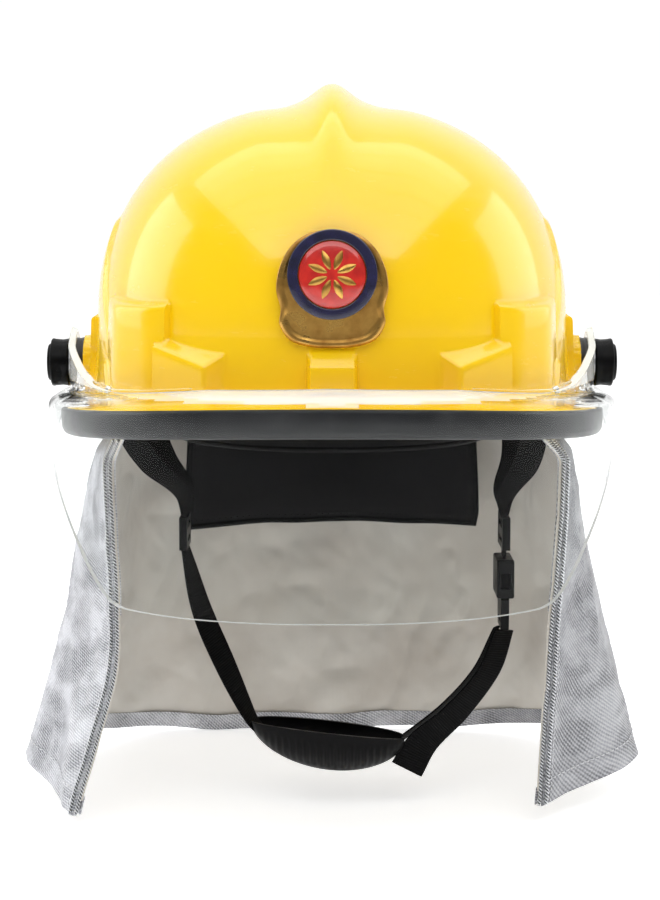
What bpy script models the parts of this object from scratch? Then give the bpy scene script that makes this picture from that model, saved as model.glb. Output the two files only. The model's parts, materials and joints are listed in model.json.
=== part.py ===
"""Firefighter helmet: ridged shell with a rubber-edged brim, a pivoting clear visor on two clamp knobs, a foam
liner, a webbing suspension with a ratchet headband, a chin harness and a flared neck cape.

Frame: origin at the centre of the headband's ring, at the level where a head enters it. +Z is up, the front of
the helmet faces -Y, and the visor turns about the X direction. Every size below is in millimetres, and
place_mesh() turns millimetres into metres."""

import math

import bmesh
import bpy
from mathutils import Matrix, Vector

MM = 0.001
GAP = 0.4  # clearance between touching solids

# Shell: plan half sizes of the dome at its widest level, and the superellipse powers of its plan and profile.
DOME_WIDE = 118.0
DOME_FRONT = 128.0
DOME_REAR = 134.0
DOME_LEVEL = 54.0
DOME_RISE = 112.0
PLAN_POWER = 2.1
PROFILE_POWER = 2.3
SHELL_WALL = 3.4
DRAFT = 0.0006  # share by which the dome widens for each millimetre below its widest level

# Ridge over the crown.
RIDGE_HEIGHT = 9.5
RIDGE_SPREAD = 11.4
RIDGE_FROM, RIDGE_TO = math.radians(15), math.radians(65)
RIDGE_HUB = 40.0  # height of the point that the ridge rises away from

# Brim: plan half sizes of its edge, how its edge rises in front and drops behind, and its turned-down lip.
BRIM_WIDE = 135.5
BRIM_FRONT = 158.0
BRIM_REAR = 157.0
BRIM_SIDE_Z = 14.5
BRIM_FRONT_RISE = 10.5
BRIM_REAR_DROP = 5.0
BRIM_ROOT_RISE = 4.0
BRIM_PLATE = 3.2
LIP_DROP = 10.0
TRIM_WALL = 2.4
TRIM_DROP = 13.0

# Badge on the dome's front.
BADGE_Z = 78.0
BADGE_DISC_UP = 5.5  # height of the disc's centre above the plate's centre

# Visor: pivot, plan ellipse of its outer face, sheet thickness.
PIVOT_Z = 34.0
VISOR_WIDE = 142.5
VISOR_REACH = 152.0
VISOR_SET = 15.0  # how far in front of the pivot the ellipse is centred
VISOR_WALL = 2.4
VISOR_TAPER = math.tan(math.radians(3))
EAR_X = 132.6
EAR_RADIUS = 16.5
BOLT_RADIUS = 4.0
BOLT_HOLE = 4.4
SEAT_RADIUS = 14.2
SEAT_X = 126.0

# Suspension.
BAND_WIDE, BAND_FRONT, BAND_REAR = 86.0, 106.0, 102.0
BAND_POWER = 2.2
BAND_LOW, BAND_HIGH = 2.0, 32.0
BAND_WALL = 2.0
LINER_LOW = 47.0
LINER_WALL = 16.0
HANGER_ANGLES = {
    "front": 0, "front_left": 50, "rear_left": 130, "rear": 180, "rear_right": 230, "front_right": 310
}
STRAP_WALL = 1.4

# Ratchet behind the headband: a pinion between two racks.
RATCHET_Y = 104.0
RATCHET_Z = 16.0
GEAR_MODULE = 1.25
PINION_TEETH = 8
PITCH_RADIUS = GEAR_MODULE * PINION_TEETH / 2
TOOTH_HEIGHT = 0.95
TOOTH_ROOT = 1.35
TOOTH_SLIM = 0.30  # share of a pitch that each tooth fills at the pitch line, under a half for backlash
TOOTH_SLOPE = 0.3
RACK_TEETH = 12
RACK_REACH = 28.0
TAIL_REACH = 52.0
RACK_WALL = 2.0

# Chin harness: it hangs in the plane y = HARNESS_Y.
HARNESS_Y = -10.0
HARNESS_Z = -61.0  # lower edge of the sliders
SWING_Z = -38.0  # line that the sliders and all below them swing about
LEG_END_Z = -32.0
WEB_WIDE = 19.0
WEB_WALL = 1.8

RIGHT_SLIDER_X = -76.0
LEFT_SLIDER_X = 89.0
CUP_RIGHT_END = Vector((-42.0, HARNESS_Y, -152.0))
CUP_LEFT_END = Vector((38.0, HARNESS_Y, -161.0))
BUCKLE_TOP = Vector((89.0, HARNESS_Y, -66.0))
BUCKLE_END = Vector((86.0, HARNESS_Y, -103.0))

# Neck cape.
CAPE_TOP_Z = 24.0
CAPE_WALL = 1.2

MATERIALS = {
    "shell_yellow": ((0.98, 0.62, 0.02), 0.22, 0.0),
    "trim_rubber": ((0.02, 0.02, 0.022), 0.45, 0.0),
    "visor_clear": ((0.92, 0.95, 0.96), 0.03, 0.0),
    "knob_black": ((0.015, 0.015, 0.015), 0.35, 0.0),
    "steel": ((0.6, 0.6, 0.62), 0.3, 1.0),
    "badge_gold": ((0.62, 0.42, 0.14), 0.35, 1.0),
    "badge_navy": ((0.03, 0.03, 0.09), 0.3, 0.0),
    "badge_red": ((0.7, 0.05, 0.03), 0.2, 0.0),
    "liner_foam": ((0.03, 0.03, 0.03), 0.9, 0.0),
    "band_plastic": ((0.02, 0.02, 0.02), 0.45, 0.0),
    "pad_leather": ((0.02, 0.018, 0.016), 0.6, 0.0),
    "webbing": ((0.015, 0.015, 0.016), 0.8, 0.0),
    "buckle_plastic": ((0.02, 0.02, 0.022), 0.4, 0.0),
    "cape_silver": ((0.62, 0.63, 0.66), 0.4, 0.8),
    "cape_lining": ((0.45, 0.42, 0.38), 0.9, 0.0),
}


# ------------------------------------------------------------------------------------- small helpers

def clear_scene():
    for obj in list(bpy.data.objects):
        bpy.data.objects.remove(obj)


def material(name):
    found = bpy.data.materials.get(name)
    if found:
        return found
    colour, roughness, metallic = MATERIALS[name]
    made = bpy.data.materials.new(name)
    made.use_nodes = True
    shader = made.node_tree.nodes["Principled BSDF"]
    shader.inputs["Base Color"].default_value = (*colour, 1.0)
    shader.inputs["Roughness"].default_value = roughness
    shader.inputs["Metallic"].default_value = metallic
    return made


def place_mesh(name, points, faces, material_name=None):
    """One object from points in millimetres, faces outwards. Without a material it is a hidden helper."""
    mesh = bpy.data.meshes.new(name)
    mesh.from_pydata([Vector(p) * MM for p in points], [], faces)
    work = bmesh.new()
    work.from_mesh(mesh)
    bmesh.ops.recalc_face_normals(work, faces=work.faces)
    work.to_mesh(mesh)
    work.free()
    obj = bpy.data.objects.new(name, mesh)
    bpy.context.scene.collection.objects.link(obj)
    if material_name:
        mesh.materials.append(material(material_name))
        mesh.shade_smooth()
        mesh.set_sharp_from_angle(angle=math.radians(35))
    else:
        hide_helper(obj)
    return obj


def set_origin(obj, origin):
    """Moves an object's origin and leaves its mesh where it is."""
    shift = Vector(origin) * MM
    obj.data.transform(Matrix.Translation(-shift))
    obj.location = shift


def hide_helper(obj):
    obj.hide_render = True
    obj.display_type = "WIRE"


def combine(obj, other, operation):
    """A live Boolean of obj with a helper."""
    step = obj.modifiers.new(operation.lower(), "BOOLEAN")
    step.operation = operation
    step.object = other
    step.solver = "EXACT"
    return step


def strip_faces(rows, columns, closed):
    """Quads of a grid of points listed row by row."""
    across = columns if closed else columns - 1
    return [
        (
            r * columns + c, r * columns + (c + 1) % columns, (r + 1) * columns + (c + 1) % columns,
            (r + 1) * columns + c,
        )
        for r in range(rows - 1)
        for c in range(across)
    ]


def ring_solid(name, rings, material_name=None):
    """A ring-shaped solid: each ring is a closed loop of points, and the last ring joins the first."""
    columns = len(rings[0])
    points = [p for ring in rings for p in ring]
    faces = strip_faces(len(rings) + 1, columns, True)
    total = len(rings) * columns
    faces = [tuple(i % total for i in face) for face in faces]
    return place_mesh(name, points, faces, material_name)


def loft_solid(name, sections, material_name=None):
    """A solid through closed sections, capped at both ends."""
    count = len(sections[0])
    points = [p for section in sections for p in section]
    faces = strip_faces(len(sections), count, True)
    faces.append(tuple(range(count)))
    faces.append(tuple(range((len(sections) - 1) * count, len(sections) * count)))
    return place_mesh(name, points, faces, material_name)


def dome_solid(name, outer, inner, material_name=None):
    """A cap between two stacks of rings, each listed from the rim up, that end in a pole."""
    columns = len(outer[0][0])
    points = []
    faces = []
    for rings, pole in (outer, inner):
        start = len(points)
        points += [p for ring in rings for p in ring]
        faces += [tuple(start + i for i in face) for face in strip_faces(len(rings), columns, True)]
        top = start + (len(rings) - 1) * columns
        points.append(pole)
        faces += [(top + c, top + (c + 1) % columns, len(points) - 1) for c in range(columns)]
    inner_start = len(outer[0]) * columns + 1
    faces += [
        (c, (c + 1) % columns, inner_start + (c + 1) % columns, inner_start + c) for c in range(columns)
    ]
    return place_mesh(name, points, faces, material_name)


def sheet_solid(name, front, back, material_name=None):
    """A solid between two open grids of the same size."""
    rows, columns = len(front), len(front[0])
    points = [p for row in front for p in row] + [p for row in back for p in row]
    half = rows * columns
    faces = strip_faces(rows, columns, False)
    faces += [tuple(half + i for i in face) for face in strip_faces(rows, columns, False)]
    rim = (
        [(0, c) for c in range(columns)]
        + [(r, columns - 1) for r in range(1, rows)]
        + [(rows - 1, c) for c in range(columns - 2, -1, -1)]
        + [(r, 0) for r in range(rows - 2, 0, -1)]
    )
    ids = [r * columns + c for r, c in rim]
    faces += [(a, b, half + b, half + a) for a, b in zip(ids, ids[1:] + ids[:1])]
    return place_mesh(name, points, faces, material_name)


def turned(name, profile, centre, axis, material_name=None, steps=28):
    """A solid of revolution. The profile is a closed outline of (distance along the axis, radius)."""
    turns = [2 * math.pi * k / steps for k in range(steps)]
    points, ids = [], []
    for along, radius in profile:
        row = []
        for turn in turns if radius > 0 else turns[:1]:
            row.append(len(points))
            points.append(on_axis(axis, along, radius * math.cos(turn), radius * math.sin(turn), centre))
        ids.append(row if len(row) > 1 else row * steps)
    faces = []
    for a, b in zip(ids, ids[1:] + ids[:1]):
        for k in range(steps):
            face = list(dict.fromkeys((a[k], a[(k + 1) % steps], b[(k + 1) % steps], b[k])))
            if len(face) > 2:
                faces.append(tuple(face))
    return place_mesh(name, points, faces, material_name)


def on_axis(axis, along, first, second, centre):
    order = {"X": (along, first, second), "Y": (first, along, second), "Z": (first, second, along)}
    return tuple(c + p for c, p in zip(centre, order[axis]))


def prism(name, low, high, material_name=None):
    """A solid between two polygons with the same number of corners."""
    return loft_solid(name, [low, high], material_name)


def box(name, low, high, material_name=None, bevel=0.0):
    corners = [(low[0], low[1]), (high[0], low[1]), (high[0], high[1]), (low[0], high[1])]
    obj = prism(name, [(*c, low[2]) for c in corners], [(*c, high[2]) for c in corners], material_name)
    if bevel:
        round_edges(obj, bevel)
    return obj


def round_edges(obj, width, segments=2):
    step = obj.modifiers.new("rounding", "BEVEL")
    step.width = width * MM
    step.segments = segments
    step.limit_method = "ANGLE"
    step.angle_limit = math.radians(40)


def smooth_path(knots, count):
    """Points at even parameter steps on a Catmull-Rom curve through the knots."""
    knots = [Vector(k) for k in knots]
    ends = [2 * knots[0] - knots[1]] + knots + [2 * knots[-1] - knots[-2]]
    found = []
    for step in range(count):
        place = step / (count - 1) * (len(knots) - 1)
        i = min(int(place), len(knots) - 2)
        t = place - i
        a, b, c, d = ends[i : i + 4]
        found.append(
            0.5
            * (2 * b + (c - a) * t + (2 * a - 5 * b + 4 * c - d) * t * t + (3 * b - a - 3 * c + d) * t**3)
        )
    return found


def ribbon(name, path, across, wide, wall, material_name, start_across=None):
    """A flat strap along a path. Its width lies along across, or turns from start_across to it."""
    sections = []
    last = len(path) - 1
    for i, point in enumerate(path):
        along = (path[min(i + 1, last)] - path[max(i - 1, 0)]).normalized()
        side = Vector(across)
        if start_across is not None:
            side = Vector(start_across).lerp(side, i / last)
        side = (side - along * side.dot(along)).normalized()
        face = along.cross(side)
        sections.append(
            [
                tuple(point + side * u * wide / 2 + face * v * wall / 2)
                for u, v in ((-1, -1), (1, -1), (1, 1), (-1, 1))
            ]
        )
    return loft_solid(name, sections, material_name)


def between(value, table):
    """Linear interpolation in a table of (value, result)."""
    for (a, low), (b, high) in zip(table, table[1:]):
        if value <= b:
            return low + (high - low) * max(0.0, (value - a) / (b - a))
    return table[-1][1]


def smoothstep(low, high, value):
    t = min(1.0, max(0.0, (value - low) / (high - low)))
    return t * t * (3 - 2 * t)


# ------------------------------------------------------------------------------------- plan and dome

def plan(turn, wide, front, rear, power):
    """A point of a superellipse. turn is 0 at the front and grows towards +X."""
    s, c = math.sin(turn), math.cos(turn)
    reach = front if c > 0 else rear
    return (
        wide * math.copysign(abs(s) ** (2 / power), s),
        -reach * math.copysign(abs(c) ** (2 / power), c),
    )


def brim_top(y):
    """Height of the top of the brim's edge."""
    if y < 0:
        return BRIM_SIDE_Z + BRIM_FRONT_RISE * (y / 160.0) ** 2
    return BRIM_SIDE_Z - BRIM_REAR_DROP * (y / 160.0) ** 2


def even_turns(columns):
    """Turns round the helmet, closer together at the front and back where the ridge is."""
    return [u - 0.2 * math.sin(2 * u) for u in (2 * math.pi * k / columns for k in range(columns))]


def dome_point(turn, level, inset, ridge=True):
    """A point of the dome. level runs from 0 at its widest to 1 at the pole, and inset is measured inwards."""
    rise = level * math.pi / 2
    scale = math.cos(rise) ** (2 / PROFILE_POWER) if level < 1 else 0.0
    x, y = plan(turn, DOME_WIDE - inset, DOME_FRONT - inset, DOME_REAR - inset, PLAN_POWER)
    z = DOME_LEVEL + (DOME_RISE - inset) * math.sin(rise) ** (2 / PROFILE_POWER)
    return raise_ridge((x * scale, y * scale, z)) if ridge else (x * scale, y * scale, z)


def raise_ridge(point):
    x, y, z = point
    rise = math.atan2(z - RIDGE_HUB, abs(y))
    height = RIDGE_HEIGHT * smoothstep(RIDGE_FROM, RIDGE_TO, rise) * math.exp(-((x / RIDGE_SPREAD) ** 2))
    away = Vector((x, y, z - RIDGE_HUB)).normalized()
    return tuple(Vector(point) + away * height)


def wall_point(turn, z, inset):
    """A point of the dome's wall at a height below its widest level."""
    grow = 1 + DRAFT * (DOME_LEVEL - z)
    x, y = plan(turn, DOME_WIDE - inset, DOME_FRONT - inset, DOME_REAR - inset, PLAN_POWER)
    return (x * grow, y * grow, z)


def wall_reach(turn, z, inset):
    """Distance from the Z axis to the dome's wall."""
    return math.hypot(*wall_point(turn, z, inset)[:2])


def brim_outline(turn, offset):
    """A point of the brim's edge, moved outwards along the outline's normal."""
    step = 1e-3
    here = Vector(plan(turn, BRIM_WIDE, BRIM_FRONT, BRIM_REAR, PLAN_POWER))
    ahead = Vector(plan(turn + step, BRIM_WIDE, BRIM_FRONT, BRIM_REAR, PLAN_POWER))
    behind = Vector(plan(turn - step, BRIM_WIDE, BRIM_FRONT, BRIM_REAR, PLAN_POWER))
    along = (ahead - behind).normalized()
    outwards = Vector((along.y, -along.x))
    if outwards.dot(here) < 0:
        outwards = -outwards
    return here + outwards * offset


# ------------------------------------------------------------------------------------- shell

SHELL_COLUMNS = 60
DOME_LEVELS = (0.15, 0.3, 0.44, 0.57, 0.69, 0.8, 0.89, 0.96)


def shell_rings(inset, lip_offset, low):
    """Rings from the lip's lower edge up to the last level under the pole, with the pole."""
    turns = even_turns(SHELL_COLUMNS)
    under = BRIM_PLATE if inset else 0.0
    rings = []
    edge = [brim_outline(t, lip_offset) for t in turns]
    rings.append([(e.x, e.y, brim_top(e.y) - low) for e in edge])
    rings.append([(e.x, e.y, brim_top(e.y) - under) for e in edge])
    root = [wall_point(t, 0.0, inset) for t in turns]
    rings.append([(x, y, brim_top(y) + BRIM_ROOT_RISE - under) for x, y, _ in root])
    for z in (38.0, DOME_LEVEL):
        rings.append([wall_point(t, z, inset) for t in turns])
    for level in DOME_LEVELS:
        rings.append([dome_point(t, level, inset) for t in turns])
    return rings, dome_point(0.0, 1.0, inset)


def solid_stack(name, rings, pole, floor):
    """Rings closed by a pole above and a floor point below."""
    columns = len(rings[0])
    points = [p for ring in rings for p in ring] + [pole, floor]
    faces = strip_faces(len(rings), columns, True)
    top = (len(rings) - 1) * columns
    faces += [(top + c, top + (c + 1) % columns, len(points) - 2) for c in range(columns)]
    faces += [((c + 1) % columns, c, len(points) - 1) for c in range(columns)]
    return place_mesh(name, points, faces)


def make_shell():
    rings, pole = shell_rings(0.0, 0.0, LIP_DROP)
    shell = solid_stack("shell", rings, pole, (0, 0, 2.0))
    shell.hide_render = False
    shell.display_type = "TEXTURED"
    shell.data.materials.append(material("shell_yellow"))
    shell.data.shade_smooth()
    shell.data.set_sharp_from_angle(angle=math.radians(35))
    for helper in shell_bosses():
        combine(shell, helper, "UNION")
    cavity_rings, cavity_pole = shell_rings(SHELL_WALL, -BRIM_PLATE, LIP_DROP + 12)
    combine(shell, solid_stack("cut_cavity", cavity_rings, cavity_pole, (0, 0, -25)), "DIFFERENCE")
    for side in (-1, 1):
        hole = turned(
            f"cut_pivot_{side}", [(-20, 0), (-20, BOLT_HOLE), (20, BOLT_HOLE), (20, 0)],
            (side * DOME_WIDE, 0, PIVOT_Z), "X", steps=20,
        )
        combine(shell, hole, "DIFFERENCE")


def block(name, outline, heights):
    """A boss: plan corners, each with its own top height, standing in the brim."""
    low = [(x, y, brim_top(y) + 1.2) for x, y in outline]
    high = [(x, y, z) for (x, y), z in zip(outline, heights)]
    return prism(name, low, high)


def shell_bosses():
    """The mouldings over the suspension's pockets: they repeat left and right, and in front and behind."""
    tall = [(108.0, -64.0), (95.5, -89.0), (79.0, -103.0), (58.0, -76.0), (88.0, -48.0)]
    tall_tops = [68, 68, 68, 76, 76]
    wedge = [(87.0, -101.0), (58.5, -124.5), (47.0, -112.0), (60.0, -84.0)]
    wedge_tops = [47.5, 40.5, 46, 56]
    made = []
    for end in (1, -1):
        far = 1.0 if end == 1 else (DOME_REAR + 1) / DOME_FRONT
        lower = 0.0 if end == 1 else -6.0
        for side in (-1, 1):
            name = f"boss_{'front' if end == 1 else 'rear'}_{'left' if side == -1 else 'right'}"
            for label, outline, heights in (("tall", tall, tall_tops), ("wedge", wedge, wedge_tops)):
                placed = [(side * x, end * y * far) for x, y in outline]
                made.append(block(f"{name}_{label}", placed, [z + lower for z in heights]))
        reach = DOME_FRONT if end == 1 else DOME_REAR
        centre = [
            (-10.5, -(reach + 8)), (10.5, -(reach + 8)), (10.5, -(reach - 14)), (-10.5, -(reach - 14)),
        ]
        outline = [(x, end * y) for x, y in centre]
        made.append(block(f"boss_centre_{end}", outline, [39 + lower, 39 + lower, 44 + lower, 44 + lower]))
    for side in (-1, 1):
        pad = [(121.3, -16.0), (121.3, 26.0), (100.0, 26.0), (100.0, -16.0)]
        made.append(block(f"boss_side_{side}", [(side * x, y) for x, y in pad], [57, 57, 60, 60]))
        seat = [(-14, 0), (-14, SEAT_RADIUS), (8, SEAT_RADIUS), (8, 0)]
        made.append(
            turned(
                f"boss_seat_{side}", [(side * a, r) for a, r in seat], (side * DOME_WIDE, 0, PIVOT_Z), "X",
                steps=28,
            )
        )
    for helper in made:
        if "seat" not in helper.name:
            round_edges(helper, 1.6, 1)
    return made


def make_brim_trim():
    """Rubber channel round the lip: outer wall, floor and inner wall."""
    turns = even_turns(SHELL_COLUMNS)
    outer = GAP + TRIM_WALL
    inner = -BRIM_PLATE - GAP
    profile = [
        (GAP, 0.8), (outer - 0.6, 0.2), (outer, 1.2), (outer + 0.3, TRIM_DROP - 2), (outer - 1.5, TRIM_DROP),
        (inner - 1.2, TRIM_DROP), (inner - 2.0, TRIM_DROP - 2), (inner - 2.0, BRIM_PLATE + 2.5),
        (inner, BRIM_PLATE + 2.5), (inner, LIP_DROP + GAP), (GAP, LIP_DROP + GAP),
    ]
    rings = []
    for offset, drop in profile:
        ring = []
        for turn in turns:
            point = brim_outline(turn, offset)
            ring.append((point.x, point.y, brim_top(point.y) - drop))
        rings.append(ring)
    ring_solid("brim_trim", rings, "trim_rubber")


def make_liner():
    turns = even_turns(32)
    stacks = []
    for inset in (SHELL_WALL + 1.7, SHELL_WALL + 1.7 + LINER_WALL):
        rings = [[wall_point(t, LINER_LOW, inset) for t in turns]]
        rings += [
            [dome_point(t, level, inset, ridge=False) for t in turns]
            for level in (0.2, 0.4, 0.6, 0.78, 0.92)
        ]
        stacks.append((rings, dome_point(0.0, 1.0, inset, ridge=False)))
    dome_solid("impact_liner", stacks[0], stacks[1], "liner_foam")


def make_badge():
    """A plain medal on the front of the dome: a backing plate, a dark ring and an enamelled disc."""
    outline = [
        (0, 26), (11, 24), (19, 18), (24, 9), (25.5, -1), (23.5, -10), (24, -17), (19, -24.5), (9, -27.5), (0, -28)
    ]
    outline += [(-x, z) for x, z in reversed(outline[1:-1])]

    def lean(points, stand):
        """Points of a flat figure, moved on to the dome's front, which leans back above the badge."""
        return [(x, -DOME_FRONT - stand + max(0.0, z) * 0.13, BADGE_Z + z) for x, z in points]

    def circle(radius):
        turns = [2 * math.pi * k / 32 for k in range(32)]
        return [(radius * math.cos(t), BADGE_DISC_UP + radius * math.sin(t)) for t in turns]

    prism("badge_plate", lean(outline, 0.8), lean(outline, 3.0), "badge_gold")
    face = 3.0 + GAP
    section = ((15.6, 0.0), (20.4, 0.0), (20.4, 1.2), (19.4, 1.8), (16.4, 1.8), (15.6, 1.2))
    ring_solid("badge_ring", [lean(circle(r), face + rise) for r, rise in section], "badge_navy")
    section = ((15.2, 0.0), (15.2, 1.0), (11.5, 2.0), (5.5, 2.6))
    loft_solid("badge_disc", [lean(circle(r), face + rise) for r, rise in section], "badge_red")


# ------------------------------------------------------------------------------------- visor

def visor_columns():
    """Stations round the visor, from the wearer's right ear to the left: plan angle, or distance behind it."""
    half = [("side", 4.0), ("side", -4.0), ("side", -10.0)]
    half += [("arc", a) for a in (0, 6, 12, 18, 24, 29, 34, 38, 41, 44, 48, 54, 61, 69, 78)]
    return [(-1, s) for s in half] + [(1, ("arc", 90))] + [(1, s) for s in reversed(half)]


VISOR_INSET = ((0, VISOR_WIDE - EAR_X), (10, 13.5), (20, 15.5), (35, 14.0), (50, 13.0), (90, 13.0))
VISOR_EDGE_Z = ((0, 43.5), (8, 38), (16, 32.5), (24, 28.5), (35, 27), (50, 28.5), (65, 31.5), (90, 33))
VISOR_KNEE_Z = ((0, 19), (20, 23), (35, 25), (50, 27.5), (65, 30.5), (90, 32))
VISOR_SHOULDER_Z = ((0, 17), (20, 18.5), (35, 21), (50, 24), (65, 26), (90, 27.5))
VISOR_HEM_Z = (
    (0, 3), (10, -11), (16.5, -21), (24, -36), (29, -46.5), (34, -58), (38, -66), (41, -70.5), (45, -72.5),
    (60, -72.5), (90, -71.5),
)


def visor_section(side, station):
    """Points of the sheet's middle surface from its upper edge to its hem, at one station."""
    kind, value = station
    angle = max(0.0, value) if kind == "arc" else 0.0
    turn = math.radians(angle)
    if kind == "arc":
        x, y = VISOR_WIDE * math.cos(turn), -VISOR_SET - VISOR_REACH * math.sin(turn)
        out = Vector((math.cos(turn) / VISOR_WIDE, -math.sin(turn) / VISOR_REACH)).normalized()
        edge_z, hem_z = between(angle, VISOR_EDGE_Z), between(angle, VISOR_HEM_Z)
    else:
        x, y = VISOR_WIDE, value
        out = Vector((1, 0))
        edge_z = PIVOT_Z + math.sqrt(max(0.0, EAR_RADIUS**2 - value**2)) * 0.97
        hem_z = 3 + 7 * (value + VISOR_SET) / (VISOR_SET + 4)
    inner = between(angle, VISOR_INSET)
    knee_z, shoulder_z = between(angle, VISOR_KNEE_Z), between(angle, VISOR_SHOULDER_Z)
    edge_z = max(edge_z, knee_z + 0.8)
    rows = [(-inner, edge_z), (-inner, (edge_z + knee_z) / 2), (-inner, knee_z)]
    rows += [
        (-inner * 0.45, (knee_z + shoulder_z) / 2 + 0.6), (-1.6, shoulder_z - 0.2),
        (-0.4, shoulder_z - 2.2),
    ]
    rows += [(-VISOR_TAPER * (shoulder_z - z), z) for z in (
        shoulder_z - 5 + (hem_z - shoulder_z + 5) * k / 4 for k in range(5)
    )]
    return [(side * (x + out.x * offset), y + out.y * offset, z) for offset, z in rows]


def make_visor():
    columns = [visor_section(side, station) for side, station in visor_columns()]
    grid = list(zip(*columns))
    points = [p for row in grid for p in row]
    visor = place_mesh("visor", points, strip_faces(len(grid), len(columns), False), "visor_clear")
    if visor.data.polygons[len(visor.data.polygons) // 2].normal.y > 0:
        visor.data.flip_normals()
    wall = visor.modifiers.new("wall", "SOLIDIFY")
    wall.thickness = VISOR_WALL * MM
    wall.offset = 0.0
    wall.use_even_offset = True
    for side in (-1, 1):
        half = VISOR_WALL / 2
        ear = [(-half, 0), (-half, EAR_RADIUS - 1), (0, EAR_RADIUS), (half, EAR_RADIUS - 1), (half, 0)]
        combine(visor, turned(f"ear_{side}", ear, (side * EAR_X, 0, PIVOT_Z), "X", steps=36), "UNION")
        hole = [(-6, 0), (-6, BOLT_HOLE), (6, BOLT_HOLE), (6, 0)]
        combine(
            visor, turned(f"cut_ear_{side}", hole, (side * EAR_X, 0, PIVOT_Z), "X", steps=20), "DIFFERENCE",
        )


def make_pivots():
    """From the inside out: nut, washer, shell boss, rubber spacer, visor ear, slip washer, clamp knob."""
    for side, name in ((-1, "right"), (1, "left")):
        def part(label, profile, material_name, steps=28):
            turned(
                f"{name}_{label}", [(side * a, r) for a, r in profile], (0, 0, PIVOT_Z), "X", material_name,
                steps,
            )

        ear_in, ear_out = EAR_X - VISOR_WALL / 2, EAR_X + VISOR_WALL / 2
        part(
            "pivot_spacer",
            [
                (SEAT_X + GAP, BOLT_HOLE), (SEAT_X + GAP, 12.2), (SEAT_X + 1.6, 12.9), (ear_in - GAP, 12.9),
                (ear_in - GAP, BOLT_HOLE),
            ],
            "trim_rubber",
        )
        part("slip_washer", [
            (
                ear_out + 0.3, BOLT_HOLE,
            ), (ear_out + 0.3, 11.6), (ear_out + 0.9, 11.6), (ear_out + 0.9, BOLT_HOLE),
        ], "steel")
        foot = ear_out + 1.2
        part("pivot_knob", [
            (foot, BOLT_HOLE), (foot, 11.9), (foot + 0.8, 12.3), (foot + 4.0, 11.8), (foot + 7.4, 12.1),
            (foot + 8.8, 12.3), (foot + 9.3, 11.8), (foot + 9.3, 9.8), (foot + 10.4, 9.8),
            (foot + 11.1, 9.0), (foot + 11.3, 7.5),
            (foot + 11.3, 0), (foot + 7.8, 0), (foot + 7.8, BOLT_HOLE),
        ], "knob_black", 28)
        part("pivot_bolt", [
            (104.5, 0), (
                104.5, BOLT_RADIUS - 0.6,
            ), (105.1, BOLT_RADIUS), (foot + 7.4, BOLT_RADIUS), (foot + 7.4, 0),
        ], "steel", 20)
        inner_wall = DOME_WIDE - SHELL_WALL
        part("flange_nut", [
            (
                inner_wall - 7.2, BOLT_HOLE,
            ), (inner_wall - 7.2, 7.2), (inner_wall - 2.0, 7.2), (inner_wall - 2.0, 9.4),
            (inner_wall - 0.6, 9.4), (inner_wall - 0.6, BOLT_HOLE),
        ], "steel", 18)


# ------------------------------------------------------------------------------------- suspension

def band_point(turn, offset, z):
    x, y = plan(turn, BAND_WIDE + offset, BAND_FRONT + offset, BAND_REAR + offset, BAND_POWER)
    return (x, y, z)


def arc_strip(name, first, last, count, outer, wall, low, high, material_name, lift=0.0):
    """A band standing on edge along the headband's plan, between two turns in degrees."""
    turns = [math.radians(first + (last - first) * k / (count - 1)) for k in range(count)]
    rows = ((0, low), (0.5, (low + high) / 2), (1, high))
    front = [[band_point(t, outer, z + lift * math.cos(t)) for t in turns] for _, z in rows]
    back = [[band_point(t, outer - wall, z + lift * math.cos(t)) for t in turns] for _, z in rows]
    return sheet_solid(name, front, back, material_name)


def make_headband():
    arc_strip("headband", -140, 140, 45, 0.0, BAND_WALL, BAND_LOW, BAND_HIGH, "band_plastic")
    arc_strip("sweatband", -104, 104, 33, -BAND_WALL - 0.5, 3.2, BAND_LOW - 3, BAND_HIGH - 3, "pad_leather")


def rack(name, side, material_name):
    """A headband tail with a toothed end. side is +1 for the bar above the pinion, -1 for the one below."""
    pitch = math.pi * GEAR_MODULE
    line = RATCHET_Z + side * PITCH_RADIUS
    tip, root, back = line - side * TOOTH_HEIGHT, line + side * TOOTH_ROOT, line + side * 5.0
    outline = []
    for tooth in range(-RACK_TEETH // 2, RACK_TEETH // 2 + 1):
        middle = tooth * pitch
        half_root = pitch * TOOTH_SLIM / 2 + TOOTH_SLOPE * TOOTH_ROOT
        half_tip = pitch * TOOTH_SLIM / 2 - TOOTH_SLOPE * TOOTH_HEIGHT
        outline += [
            (middle - half_root, root), (middle - half_tip, tip), (middle + half_tip, tip),
            (middle + half_root, root),
        ]
    outline += [
        (RACK_REACH, root), (RACK_REACH, back), (-TAIL_REACH, back), (-TAIL_REACH, line - side * 2.0),
    ]
    outline += [(-RACK_REACH - 5.0, line - side * 2.0), (-RACK_REACH - 5.0, root)]
    low = [(side * x, RATCHET_Y, z) for x, z in outline]
    high = [(side * x, RATCHET_Y + RACK_WALL, z) for x, z in outline]
    return prism(name, low, high, material_name)


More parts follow.
